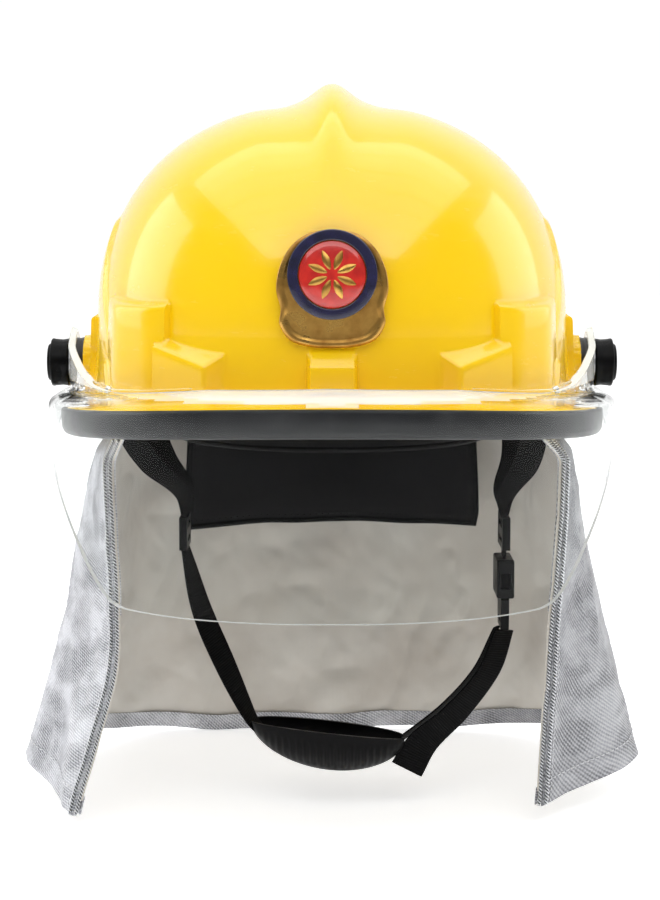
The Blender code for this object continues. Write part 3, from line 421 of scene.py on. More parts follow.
def trim_rubber():
    """Extruded rubber: dark, a little shiny on top, with a fine pebble and dust in it."""
    g = Graph("trim_rubber", rgb(26, 26, 29), 0.36, Specular_IOR_Level=0.45)
    dust = g.remap(g.noise(45.0, 5.0, roughness=0.7), 0.45, 0.8)
    g.colour(g.mix(dust, rgb(20, 20, 23), rgb(46, 45, 47)))
    g.roughness(g.remap(dust, 0.0, 1.0, 0.3, 0.55))
    g.bump(g.noise(700.0, 2.0), 0.25, 0.12)
    return g.material


def moulded_black(name, roughness, grain):
    """Injection-moulded black plastic with a spark-eroded grain and worn, shinier patches."""
    g = Graph(name, rgb(14, 14, 15), roughness, Specular_IOR_Level=0.1)
    wear = g.remap(g.noise(60.0, 4.0), 0.4, 0.7)
    g.colour(g.mix(wear, rgb(4, 4, 5), rgb(11, 11, 12)))
    g.roughness(g.remap(wear, 0.0, 1.0, roughness - 0.1, roughness + 0.12))
    g.bump(g.noise(grain, 2.0), 0.3, 0.08)
    return g.material


def visor_clear(name, ior, clear):
    """Clear polycarbonate. Lamps shine through it, so that what stands behind isn't in a hard shadow."""
    g = Graph(name, (0.97, 0.985, 0.98, 1.0), 0.012, Transmission_Weight=clear, IOR=ior)
    g.bump(g.noise(16.0, 1.0), 0.05, 0.5)
    path = g.node("ShaderNodeLightPath")
    passing = g.node("ShaderNodeBsdfTransparent", {"Color": (0.93, 0.95, 0.95, 1.0)})
    inputs = {"Fac": path.outputs["Is Shadow Ray"], 1: g.shader.outputs[0], 2: passing.outputs[0]}
    both = g.node("ShaderNodeMixShader", inputs)
    g.feed(g.tree.nodes["Material Output"].inputs["Surface"], both.outputs[0])
    return g.material


def white_edge_highlight():
    """The sheet's cut edge: rough, and painted white and scattering as a highlight along the rim."""
    # painted highlight: near-white edge faces stand for the bright line of light along the rim
    g = Graph("visor_edge_highlight", rgb(240, 243, 245), 0.5, Transmission_Weight=0.25)
    g.bump(g.noise(1800.0, 3.0), 0.5, 0.1)
    return g.material


def plated_steel():
    """Zinc-plated steel, a little uneven in its shine."""
    g = Graph("steel", rgb(170, 170, 172), 0.3, 1.0)
    g.roughness(g.remap(g.noise(220.0, 4.0), 0.3, 0.7, 0.2, 0.42))
    g.bump(g.noise(600.0, 2.0), 0.15, 0.05)
    return g.material


def badge_gold():
    """Struck brass under lacquer: fine pitting, and darker patches."""
    g = Graph("badge_gold", rgb(196, 152, 78), 0.3, 1.0)
    tarnish = g.remap(g.noise(120.0, 5.0), 0.35, 0.7)
    g.colour(g.mix(tarnish, rgb(204, 160, 84), rgb(150, 108, 52)))
    g.roughness(g.remap(tarnish, 0.0, 1.0, 0.24, 0.46))
    g.bump(g.noise(900.0, 3.0), 0.3, 0.08)
    return g.material


def enamel(name, base, deep):
    """Fired enamel: a glossy coat over slightly clouded colour."""
    g = Graph(name, base, 0.22, Coat_Weight=0.8, Coat_Roughness=0.03)
    g.colour(g.mix(g.remap(g.noise(180.0, 3.0), 0.35, 0.7), base, deep))
    g.bump(g.noise(160.0, 1.0), 0.08, 0.2)
    return g.material


def leather_black():
    """Thin black leather cloth: pebbled, with creases and a soft shine."""
    g = Graph("pad_leather", rgb(8, 8, 9), 0.5, Specular_IOR_Level=0.08)
    creases = g.noise(70.0, 5.0, roughness=0.6)
    g.colour(g.mix(g.remap(creases, 0.4, 0.7), rgb(4, 4, 5), rgb(12, 11, 11)))
    g.roughness(g.remap(creases, 0.3, 0.7, 0.46, 0.66))
    g.bump(g.cells(620.0), 0.12, 0.03)
    g.bump(creases, 0.3, 0.4)
    return g.material


def liner_foam():
    """Moulded foam, with its beads just seen."""
    g = Graph("liner_foam", rgb(24, 24, 25), 0.85)
    beads = g.cells(260.0)
    g.colour(g.mix(beads, rgb(34, 34, 35), rgb(17, 17, 18)))
    g.bump(beads, 0.6, 0.5)
    return g.material


RIBS = 2 / 0.0013 / math.tau  # the scale of a wave texture whose ribs are 1.3 mm apart


def webbing():
    """Woven webbing: ribs across the strap, a herringbone of yarns along it, and fuzz. The weave's map
    is in metres."""
    g = Graph("webbing", rgb(14, 14, 15), 0.8, Specular_IOR_Level=0.1)
    lay = g.coords.outputs["UV"]
    ribs = g.wave(RIBS, lay, "Y")
    slant = g.wave(520.0, g.space("UV", degrees=35), "X")
    yarn = g.times(ribs, g.plus(g.times(slant, 0.6), 0.4))
    fuzz = g.noise(1500.0, 3.0, lay)
    g.colour(g.mix(g.times(yarn, g.remap(fuzz, 0.3, 0.7)), rgb(5, 5, 6), rgb(24, 23, 24)))
    g.bump(yarn, 0.7, 0.35)
    g.bump(fuzz, 0.3, 0.12)
    return g.material


SIDE_SHADE_FROM_TO = (0.03, 0.1)  # metres to the wearer's left, between which painted shade darkens the cape


def twill_silver():
    """Aluminised twill: diagonal ribs 1.3 mm apart, crossed by yarns, bright on the ribs and grey
    between them, with painted shade that darkens it towards the wearer's left."""
    g = Graph("cape_silver", rgb(216, 217, 220), 0.36, 0.45)
    lay = g.coords.outputs["UV"]
    rib = g.wave(RIBS, g.space("UV", degrees=14), "Y")
    yarn = g.wave(RIBS * 1.15, g.space("UV", degrees=-28), "X")
    grain = g.noise(1100.0, 4.0, lay, 0.65)
    weave = g.plus(g.times(rib, 0.72), g.times(yarn, 0.28))
    patchy = g.times(weave, g.remap(grain, 0.32, 0.66, 0.35, 1.1))
    rubbed = g.remap(g.noise(55.0, 4.0, lay, 0.6), 0.4, 0.62)
    dull = g.mix(patchy, rgb(104, 105, 110), rgb(246, 247, 251))
    bright = g.mix(patchy, rgb(196, 198, 204), rgb(254, 254, 255))
    across = g.node("ShaderNodeSeparateXYZ", {"Vector": g.coords.outputs["Object"]}).outputs["X"]
    # painted shade: the cloth grows darker towards the wearer's left, across object X
    side_shade = g.mix(g.remap(across, *SIDE_SHADE_FROM_TO, 0.0, 0.8), rgb(234, 234, 236), rgb(180, 180, 181))
    g.colour(g.mix(1.0, g.mix(rubbed, dull, bright), side_shade, "MULTIPLY"))
    g.roughness(g.remap(patchy, 0.0, 1.0, 0.5, 0.26))
    g.bump(weave, 0.75, 0.32)
    g.bump(grain, 0.4, 0.14)
    return g.material


def rope_thread():
    """Overlock thread with a metallic wrap: bright strands with dark hollows."""
    g = Graph("edge_rope", rgb(205, 207, 212), 0.42, 0.55)
    fuzz = g.noise(1500.0, 4.0)
    g.colour(g.mix(g.remap(fuzz, 0.35, 0.65), rgb(196, 198, 204), rgb(250, 251, 253)))
    g.bump(fuzz, 0.5, 0.12)
    return g.material


def plain_thread(name, low, high):
    """Spun sewing thread, from its hollows' colour to its crowns'."""
    g = Graph(name, high, 0.6)
    fuzz = g.noise(2200.0, 3.0)
    g.colour(g.mix(g.remap(fuzz, 0.3, 0.7), low, high))
    g.bump(fuzz, 0.4, 0.08)
    return g.material


def lining_cloth():
    """Plain grey-brown cotton, with soft stains of use."""
    g = Graph("cape_lining", rgb(176, 171, 164), 0.85, Sheen_Weight=0.25)
    lay = g.coords.outputs["UV"]
    weave = g.times(g.wave(420.0, lay, "X"), g.wave(420.0, lay, "Y"))
    cloud = g.remap(g.noise(14.0, 4.0, lay, 0.6), 0.3, 0.7)
    g.colour(g.mix(cloud, rgb(222, 219, 212), rgb(203, 196, 187)))
    g.bump(weave, 0.35, 0.12)
    g.bump(g.noise(500.0, 3.0, lay), 0.25, 0.1)
    return g.material


MATS = {
    "shell": shell_paint(),
    "rubber": trim_rubber(),
    "knob": moulded_black("knob_black", 0.34, 700.0),
    "plastic": moulded_black("moulded_black", 0.42, 1100.0),
    "visor": visor_clear("visor_clear", 1.1, 1.0),
    # painted reflection: the flange lets less light through, so its near-white base shows as a milky sheen
    "flange": visor_clear("visor_flange_painted_reflection", 1.5, 0.6),
    "visor_edge_highlight": white_edge_highlight(),
    "steel": plated_steel(),
    "gold": badge_gold(),
    "navy": enamel("badge_navy", rgb(30, 28, 66), rgb(18, 18, 44)),
    "red": enamel("badge_red", rgb(206, 40, 28), rgb(176, 26, 22)),
    "leather": leather_black(),
    "foam": liner_foam(),
    "webbing": webbing(),
    "silver": twill_silver(),
    "lining": lining_cloth(),
    "rope": rope_thread(),
    "thread": plain_thread("stitch_thread", rgb(196, 197, 200), rgb(238, 239, 241)),
    "core": plain_thread("rope_core", rgb(44, 45, 48), rgb(96, 97, 101)),
    "black_thread": plain_thread("black_thread", rgb(8, 8, 9), rgb(38, 37, 38)),
}


# ---------------------------------------- shell

def plan_point(turn, wide, front, rear, power=PLAN_POWER):
    """Points of a superellipse. turn is 0 at the front and grows towards +X."""
    s, c = np.sin(turn), np.cos(turn)
    x = wide * np.sign(s) * np.abs(s) ** (2 / power)
    y = -np.where(c > 0, front, rear) * np.sign(c) * np.abs(c) ** (2 / power)
    return np.stack([x, y], axis=-1)


def brim_top(y):
    """Height of the top of the brim's edge."""
    return BRIM_SIDE_Z + np.where(y < 0, BRIM_FRONT_RISE, -BRIM_REAR_DROP) * (y / 160.0) ** 2


def outline_reach(azimuth, wide, front, rear):
    """Distance from the Z axis to a superellipse in a direction."""
    x, y = np.sin(azimuth), -np.cos(azimuth)
    far = np.where(y < 0, front, rear)
    return (np.abs(x / wide) ** PLAN_POWER + np.abs(y / far) ** PLAN_POWER) ** (-1 / PLAN_POWER)


def heading(azimuth, elevation):
    flat = np.cos(elevation)
    return np.stack([np.sin(azimuth) * flat, -np.cos(azimuth) * flat, np.sin(elevation)], axis=-1)


def dome_share(points, inset):
    """Below 1 inside the plain dome and above 1 outside it."""
    x, y, z = np.moveaxis(points, -1, 0)
    far = np.where(y < 0, DOME_FRONT, DOME_REAR) - inset
    across = (
        np.abs(x / (DOME_WIDE - inset)) ** PLAN_POWER + np.abs(y / far) ** PLAN_POWER
    ) ** (1 / PLAN_POWER)
    rise = np.maximum(z - DOME_LEVEL, 0) / (DOME_RISE - inset)
    domed = (across**PROFILE_POWER + rise**PROFILE_POWER) ** (1 / PROFILE_POWER)
    return np.where(z < DOME_LEVEL, across / (1 + DRAFT * (DOME_LEVEL - z)), domed)


def dome_reach(ways, inset=0.0):
    """Distance from the hub to the plain dome."""
    low, high = np.full(ways.shape[:-1], 40.0), np.full(ways.shape[:-1], 220.0)
    for _ in range(34):
        middle = (low + high) / 2
        inside = dome_share(HUB + ways * middle[..., None], inset) < 1
        low, high = np.where(inside, middle, low), np.where(inside, high, middle)
    return (low + high) / 2


def soft_least(reaches, softness):
    least = np.min(reaches, axis=0)
    return least - softness * np.log(np.sum(np.exp(-(reaches - least) / softness), axis=0))


def soft_most(reaches, softness):
    return -soft_least([-r for r in reaches], softness)


def boss_reach(ways, planes, softness):
    """Distance from the hub to the boundary of a boss. Each plane is (normal, a point on it)."""
    reaches = []
    for normal, point in planes:
        normal = unit(normal)
        depth = float(normal @ (np.asarray(point, float) - HUB))
        facing = ways @ normal
        reaches.append(np.where(facing > 1e-4, depth / np.maximum(facing, 1e-4), 1e4))
    ahead = unit(np.sum([np.asarray(point[:2], float) for _, point in planes], axis=0))
    on_its_side = ways[..., :2] @ ahead > 0.3
    return np.where(on_its_side, soft_least(np.array(reaches), softness), 0.0)


def seat_reach(ways, side):
    """The round seat under a pivot: a cylinder along X, cut off by its end face."""
    end_x, radius = 125.6, 14.2
    lift = HUB[2] - PIVOT_Z
    outwards = side * ways[..., 0]
    y, z = ways[..., 1], ways[..., 2]
    a = y * y + z * z
    root = np.sqrt(np.maximum((z * lift) ** 2 - a * (lift**2 - radius**2), 0))
    wall = np.where(a > 1e-9, (root - z * lift) / np.maximum(a, 1e-9), 1e4)
    face = np.where(outwards > 1e-4, end_x / np.maximum(outwards, 1e-4), 0.0)
    return soft_least(np.array([wall, face]), 0.5)


TALL_BOX = (  # over the suspension's pocket: inner end, front, chamfer, outer face, rear end, top
    ((-0.79, -0.61, 0.02), (77.0, -101.0, 60)),
    ((0.30, -0.95, 0.03), (80.0, -102.0, 60)),
    ((0.72, -0.69, 0.03), (95.0, -90.5, 60)),
    ((0.975, -0.22, 0.035), (108.0, -66.0, 60)),
    ((0.62, 0.78, 0.02), (108.0, -60.0, 60)),
    ((0.22, -0.20, 0.95), (95.0, -84.0, 68.5)),
)
WEDGE = (  # lower and longer, with a slanted top: outer face, end, far end, top
    ((0.636, -0.772, 0.02), (84.6, -103.2, 40)),
    ((-0.524, -0.852, 0.02), (59.0, -124.2, 40)),
    ((0.80, 0.60, 0.0), (84.9, -103.0, 40)),
    ((0.184, -0.538, 0.823), (84.6, -103.2, 48.8)),
)
CENTRE_BOSS = (
    ((1, 0, 0.015), (10.9, -130, 40)),
    ((-1, 0, 0.015), (-10.9, -130, 40)),
    ((0, -1, 0.02), (0, -136.4, 38)),
    ((0, -0.66, 0.75), (0, -136.2, 42.4)),
)
SIDE_PAD = (
    ((1, 0, 0.03), (121.2, 0, 40)),
    ((0, -1, 0.02), (115, -17.5, 40)),
    ((0, 1, 0.02), (115, 27.5, 40)),
    ((0.35, 0, 0.937), (119.0, 0, 58.5)),
)


def moved_planes(planes, side, end, lower):
    """A boss's planes mirrored to a side and an end. Behind, the same mouldings stand lower and
    further out."""
    stretch = 1.0 if end == 1 else DOME_REAR / DOME_FRONT
    moved = []
    for (nx, ny, nz), (x, y, z) in planes:
        moved.append(((side * nx, end * ny, nz), (side * x, end * y * stretch, z - lower)))
    return moved


def shell_reach(ways):
    """Distance from the hub to the shell's outside: the dome joined with every boss."""
    found = dome_reach(ways)
    for end, lower in ((1, 0.0), (-1, 6.0)):
        bosses = [boss_reach(ways, moved_planes(CENTRE_BOSS, 1, end, lower), 0.9)]
        for side in (-1, 1):
            bosses.append(boss_reach(ways, moved_planes(TALL_BOX, side, end, lower), 1.5))
            bosses.append(boss_reach(ways, moved_planes(WEDGE, side, end, lower), 0.55))
        for boss in bosses:
            found = soft_most([found, boss], 0.6)
    for side in (-1, 1):
        found = soft_most([found, boss_reach(ways, moved_planes(SIDE_PAD, side, 1, 0.0), 0.9)], 0.6)
        found = soft_most([found, seat_reach(ways, side)], 0.4)
    return found


RIDGE_HUB = np.array([0.0, 0.0, 40.0])
PANEL_HEIGHT = 1.7
PANEL_TOP = (-20.0, 112.0)  # y and z of the front upper corner of the raised side panels


def raise_details(points):
    """Lifts the crown's ridge and the raised panels on both sides off the dome."""
    x, y, z = np.moveaxis(points, -1, 0)
    rise = np.arctan2(z - RIDGE_HUB[2], np.abs(y))
    crest = np.exp(-((x / RIDGE_SPREAD) ** 2)) - 0.10 * np.exp(-(((np.abs(x) - 27.0) / 9.0) ** 2))
    height = RIDGE_HEIGHT * smoothstep(math.radians(15), math.radians(65), rise) * crest
    past_front = 0.858 * (y - PANEL_TOP[0]) - 0.515 * (z - PANEL_TOP[1])
    past_rear = -0.858 * (y - 34.0) - 0.515 * (z - PANEL_TOP[1])
    under_top = PANEL_TOP[1] - 0.10 * np.abs(y - 7.0) - z
    inside = smoothstep(0, 2.2, past_front) * smoothstep(0, 2.2, past_rear) * smoothstep(0, 5.0, under_top)
    height = height + PANEL_HEIGHT * inside * smoothstep(40.0, 60.0, np.abs(x)) * smoothstep(18.0, 30.0, z)
    return points + unit(points - RIDGE_HUB) * height[..., None]


def shell_azimuths(count):
    """Headings round the shell, closer together where the bosses' ends are seen edge-on."""
    fine = np.linspace(0, math.tau, 4001)
    # 0 at the front and the rear, 90 at the sides
    folded = np.degrees(np.abs((fine + math.pi / 2) % math.pi - math.pi / 2))
    weight = 1.0 + 1.6 * np.exp(-(((folded - 40) / 24) ** 4)) + 1.4 * np.exp(-((folded / 7.5) ** 4))
    weight += 0.7 * np.exp(-(((folded - 90) / 14) ** 4))
    total = np.concatenate([[0], np.cumsum((weight[1:] + weight[:-1]) / 2)])
    return np.interp(np.arange(count) / count * total[-1], total, fine)


FILLET = 3.4
LIP_ROUND = 1.5


def plate_height(azimuth, reach):
    """Top of the brim's plate at a distance from the Z axis, between its root at the dome and its edge."""
    root = outline_reach(azimuth, *(r * 1.03 for r in (DOME_WIDE, DOME_FRONT, DOME_REAR)))
    edge = outline_reach(azimuth, BRIM_WIDE, BRIM_FRONT, BRIM_REAR)
    share = (reach - root) / (edge - root)
    root_z = brim_top(-np.cos(azimuth) * root) + BRIM_ROOT_RISE
    edge_z = brim_top(-np.cos(azimuth) * edge)
    return root_z + (edge_z - root_z) * share


def at_reach(azimuth, reach, z):
    return np.stack([np.sin(azimuth) * reach, -np.cos(azimuth) * reach, z + 0 * reach], axis=-1)


def base_elevation(azimuth):
    """Elevation from the hub where the shell's outside reaches the top of the fillet at its foot."""
    low, high = np.full(azimuth.shape, math.radians(-14)), np.full(azimuth.shape, math.radians(8))
    for _ in range(22):
        middle = (low + high) / 2
        ways = heading(azimuth, middle)
        points = HUB + ways * shell_reach(ways)[..., None]
        wanted = plate_height(azimuth, np.hypot(points[..., 0], points[..., 1])) + FILLET
        above = points[..., 2] > wanted
        low, high = np.where(above, low, middle), np.where(above, middle, high)
    return (low + high) / 2


def shell_outside(azimuth):
    """Rows from the pole down to the foot of the dome."""
    base = base_elevation(azimuth)
    shoulder = math.radians(24)
    crown = np.linspace(math.pi / 2, shoulder, 56)[:-1, None] + 0 * azimuth
    share = np.linspace(0, 1, 70)[:, None]
    sides = shoulder + (base - shoulder) * share
    ways = heading(azimuth + 0 * crown[:1], np.concatenate([crown, sides]))
    return raise_details(HUB + ways * shell_reach(ways)[..., None])


def make_shell():
    """The dome with its ridge and bosses, the brim, the lip, and the shell's plain inside."""
    azimuth = shell_azimuths(640)
    outside = shell_outside(azimuth)
    foot = outside[-1]
    foot_reach = np.hypot(foot[:, 0], foot[:, 1])
    edge = outline_reach(azimuth, BRIM_WIDE, BRIM_FRONT, BRIM_REAR)
    start = foot_reach + FILLET
    top = plate_height(azimuth, edge - LIP_ROUND)
    wall = outline_reach(azimuth, *(r * 1.022 - SHELL_WALL for r in (DOME_WIDE, DOME_FRONT, DOME_REAR)))
    under = plate_height(azimuth, wall) - BRIM_PLATE
    # (distance from the Z axis, height), from the foot of the dome out to the lip and back beneath
    rings = []
    for swing in np.radians((20, 42, 66, 90)):
        reach = foot_reach + FILLET * (1 - math.cos(swing))
        rings.append((reach, plate_height(azimuth, reach) + FILLET * (1 - math.sin(swing))))
    for share in (0.35, 0.7, 1.0):
        reach = start + (edge - LIP_ROUND - start) * share
        rings.append((reach, plate_height(azimuth, reach)))
    for swing in np.radians((30, 60, 90)):
        rings.append(
            (edge - LIP_ROUND + LIP_ROUND * math.sin(swing), top - LIP_ROUND * (1 - math.cos(swing)))
        )
    rings += [(edge, top - LIP_DROP), (edge - BRIM_PLATE, top - LIP_DROP)]
    rings += [(edge - BRIM_PLATE, top - BRIM_PLATE - 1.0), (edge - BRIM_PLATE - 1.0, top - BRIM_PLATE)]
    rings += [(wall + 1.5, under), (wall, under + 1.5)]
    inner = np.linspace(0, math.pi / 2, 15)[:, None] + 0 * azimuth
    ways = heading(azimuth + 0 * inner, inner)
    inside = HUB + ways * dome_reach(ways, SHELL_WALL)[..., None]
    rows = [outside] + [at_reach(azimuth, reach, z)[None] for reach, z in rings] + [inside]
    shell = weld(grid_piece("shell_skin", np.concatenate(rows), MATS["shell"], sharp=55))
    place(shell, "helmet", "shell_yellow", "shell")


# ---------------------------------------- brim trim

def brim_normal_line(turns, offset):
    """The brim's outline moved outwards by an offset."""
    behind, here, ahead = (
        plan_point(turns + by, BRIM_WIDE, BRIM_FRONT, BRIM_REAR) for by in (-1e-3, 0, 1e-3)
    )
    along = unit(ahead - behind)
    outwards = np.stack([along[:, 1], -along[:, 0]], axis=-1)
    outwards = outwards * np.sign(np.sum(outwards * here, axis=1, keepdims=True))
    return here + outwards * offset


def make_brim_trim():
    """Rubber channel pressed over the lip, with a soft upper lip, a bulged wall and a rolled foot."""
    profile = round_corners(
        [
            (0.6, 3.0), (0.4, 0.3), (1.7, -0.1), (2.9, 1.3), (3.25, 6.0), (3.0, 11.0), (1.6, 13.3), (-2.6, 13.4),
            (-5.3, 12.4), (-6.0, 10.0), (-5.9, 6.2), (-3.9, 6.0), (-3.7, 10.6), (0.5, 10.8), (0.5, 3.2)
        ],
        1.3,
    )
    fine = np.linspace(0, math.tau, 2001)
    lengths = travelled(brim_normal_line(fine, 0))
    turns = np.interp(np.linspace(0, lengths[-1], 420, endpoint=False), lengths, fine)
    rows = []
    for offset, drop in profile[:-1]:
        line = brim_normal_line(turns, offset)
        rows.append(np.column_stack([line, brim_top(line[:, 1]) - drop]))
    trim = grid_piece("brim_trim_skin", rows, MATS["rubber"], wrap_rows=True)
    place(trim, "helmet", "trim_rubber", "brim_trim")


# ---------------------------------------- visor

VISOR_INSET = ((-1, 9.9), (0, 9.9), (10, 13.5), (20, 15.5), (35, 14.0), (50, 13.0), (90, 13.0))
VISOR_EDGE_Z = (
    (-1, 43.5), (0, 43.5), (8, 38), (16, 32.5), (24, 28.5), (35, 27), (50, 28.5), (65, 31.5), (90, 33),
)
VISOR_KNEE_Z = ((-1, 19), (0, 19), (20, 23), (35, 25), (50, 27.5), (65, 30.5), (90, 32))
VISOR_SHOULDER_Z = ((-1, 17), (0, 17), (20, 18.5), (35, 21), (50, 24), (65, 26), (90, 27.5))
VISOR_HEM_Z = (
    (-1, 3.5), (0, 3), (10, -11), (16.5, -21), (24, -36), (29, -46.5), (34, -58), (38, -66), (41, -70.5),
    (45, -72.5), (60, -72.5), (90, -71.5),
)
VISOR_ROWS = 44  # closer together in their first third, where the sheet bends
VISOR_TAPER = math.tan(math.radians(3))
FLANGE_Z = 27.0  # the flange lies above this


def visor_station(angle, behind):
    """Centre line of the sheet at one station, from its upper edge to its hem.

    angle is the plan angle in degrees, 0 beside the pivot and 90 in front. behind is the distance behind the
    ellipse's centre, for stations at angle 0."""
    turn = math.radians(angle)
    inner, knee, shoulder, edge, hem = (
        float(smooth_table(angle, table))
        for table in (VISOR_INSET, VISOR_KNEE_Z, VISOR_SHOULDER_Z, VISOR_EDGE_Z, VISOR_HEM_Z)
    )
    if angle > 0:
        centre = np.array([VISOR_WIDE * math.cos(turn), -VISOR_SET - VISOR_REACH * math.sin(turn)])
        out = unit([math.cos(turn) / VISOR_WIDE, -math.sin(turn) / VISOR_REACH])
    else:
        centre, out = np.array([VISOR_WIDE, -VISOR_SET + behind]), np.array([1.0, 0.0])
        edge = PIVOT_Z + math.sqrt(max(0.0, EAR_RADIUS**2 - centre[1] ** 2))
        hem = 3.0 + 7.0 * behind / (VISOR_SET + 10.0)
    edge = max(edge, knee + 1.2)
    outline = round_corners(
        [
            (-inner, edge), (-inner, knee + 0.3), (-inner * 0.45, (knee + shoulder) / 2 + 1.0),
            (-0.1, shoulder - 0.4), (-VISOR_TAPER * 8, shoulder - 8), (
                -VISOR_TAPER * (shoulder - hem), hem,
            ),
        ],
        3.2, 5,
    )
    lengths = travelled(outline)
    share = np.linspace(0, 1, VISOR_ROWS)
    line = points_along(outline, lengths, lengths[-1] * (0.45 * share + 0.55 * share**2.4))
    return np.column_stack([centre + out * line[:, :1], line[:, 1]])


def visor_centre():
    """The sheet's middle surface: rows from the upper edge to the hem, columns from the right ear to
    the left."""
    behind = [31.2, 30.0, 28.0, 25.0, 21.0, 17.0, 13.0, 10.0, 7.0, 4.5, 2.0]
    angles = np.concatenate([np.linspace(0.4, 48, 64), np.linspace(49, 90, 36)])
    left = np.array([visor_station(0.0, b) for b in behind] + [visor_station(a, 0.0) for a in angles])
    right = left * np.array([-1.0, 1.0, 1.0])
    columns = np.concatenate([right, left[:-1][::-1]])
    return np.moveaxis(columns, 0, 1)


def grid_normals(grid):
    return unit(np.cross(np.gradient(grid, axis=0), np.gradient(grid, axis=1)))


def finish_visor(visor, first_rim_face):
    """The flange over the brim lets less light through, so it's whiter than the sheet in front: a painted
    reflection. The edges are painted white as a highlight."""
    for finish in ("flange", "visor_edge_highlight"):
        visor.data.materials.append(MATS[finish])
    for face in visor.data.polygons:
        if face.index >= first_rim_face:
            face.material_index = 2
        elif face.center.z > FLANGE_Z * MM:
            face.material_index = 1


def make_visor():
    """The clear sheet with a flange along its top, and a rolled bead, a stop and a rib beside each
    pivot."""
    middle = visor_centre()
    normal = grid_normals(middle)
    if normal[-5, normal.shape[1] // 2, 1] > 0:
        normal = -normal
    front, back = middle + normal * VISOR_WALL / 2, middle - normal * VISOR_WALL / 2
    visor = closed_sheet("visor_sheet", front, back, MATS["visor"])
    finish_visor(visor, 2 * (middle.shape[0] - 1) * (middle.shape[1] - 1))
    place(visor, "visor", "visor_clear", "visor")
    columns = middle.shape[1]
    for side, name in SIDES:
        add_visor_beads(
            side, name, middle[0, columns // 2 :][::-1] if side == 1 else middle[0, : columns // 2 + 1],
        )


def tube_along(name, line, radius, material, steps=12, flat=1.0, up=(0, 0, 1)):
    """A tube with round ends. flat squeezes it across its upright direction."""
    line = np.asarray(line, float)
    along = tangents(line)
    side = unit(np.cross(along, up))
    lift = unit(np.cross(side, along))
    lengths = travelled(line)
    to_end = np.minimum(lengths, lengths[-1] - lengths)
    swell = np.sqrt(np.clip(1 - (1 - np.clip(to_end / radius, 0, 1)) ** 2, 0.02, 1))
    grid = line[:, None] + circles(side, lift, steps, flat) * (radius * swell)[:, None, None]
    return grid_piece(name, grid, material, caps=True)


def add_visor_beads(side, name, inner_edge):
    """The thick rolled edge of the plate round a pivot, the small stop over it, and a low rib along
    the flange."""
    out = np.abs(inner_edge[:, 0])
    ear = inner_edge[(inner_edge[:, 1] < 4.0) & (out > 104.0)]
    flange = inner_edge[(out < 106.0) & (out > 62.0)]
    stop = [(side * EAR_X, y, z) for y, z in ((-1.5, 50.6), (0.5, 51.6), (2.5, 50.8))]
    for part, line, radius, steps, flat in (
        ("bead", even_line(ear + [0.0, 0.0, 0.6], 60), 1.9, 14, 1.0),
        ("stop", stop, 1.7, 12, 1.0),
        ("rib", even_line(flange + [0.0, 0.0, 0.2], 50), 1.35, 12, 0.8),
    ):
        made = tube_along(f"{name}_visor_{part}", line, radius, MATS["visor"], steps, flat)
        place(made, "visor", "visor_clear")


# ---------------------------------------- pivots and badge

KNOB_OUTLINE = (  # distance out from the knob's foot, radius
    (0, 0), (0, 11.6), (0.8, 12.3), (3.6, 11.75), (7.0, 12.0), (8.8, 12.35), (9.5, 12.0), (9.5, 9.9), (9.2, 9.6),
    (10.4, 9.6), (11.3, 9.0), (11.4, 0),
)


def make_pivots():
    """The clamp knobs and the rubber spacers under the visor's ears, turned about the pivots' line."""
    ear_out = EAR_X + VISOR_WALL / 2
    ear_in = ear_out - VISOR_WALL - 0.25
    knob = round_corners(KNOB_OUTLINE, 0.55) + [ear_out + 1.2, 0]
    spacer = round_corners(
        [(125.9, 0), (125.9, 12.4), (127.6, 13.0), (129.6, 12.5), (ear_in, 12.9), (ear_in, 0)], 0.5,
    )
    for side, name in SIDES:
        made = turned(f"{name}_knob_skin", knob * [side, 1], MATS["knob"], 96)
        place(made, f"{name}_knob", "knob_black", f"{name}_pivot_knob")
        made = turned(f"{name}_spacer_skin", spacer * [side, 1], MATS["rubber"], 80)
        place(made, "helmet", "trim_rubber", f"{name}_pivot_spacer")


BADGE_Z = 78.0
BADGE_DISC_UP = 5.5
LEAVES = 8


def on_badge(x, z, stand):
    """A point of the badge's flat, which leans back above its centre."""
    return (x, -DOME_FRONT - stand + max(0.0, z) * 0.13, BADGE_Z + z)


def badge_outline(count):
    """A shield with soft waists, symmetric about x = 0."""
    corners = [
        (0, 26), (11, 24), (19, 18), (24, 9), (25.5, -1), (23.5, -10), (24, -17), (19, -24.5), (9, -27.5), (0, -28)
    ]
    half = smooth_line([(x, z, 0) for x, z in corners], count // 2 + 1)[:, :2]
    return np.concatenate([half[:-1], (half * [-1, 1])[::-1][:-1]])


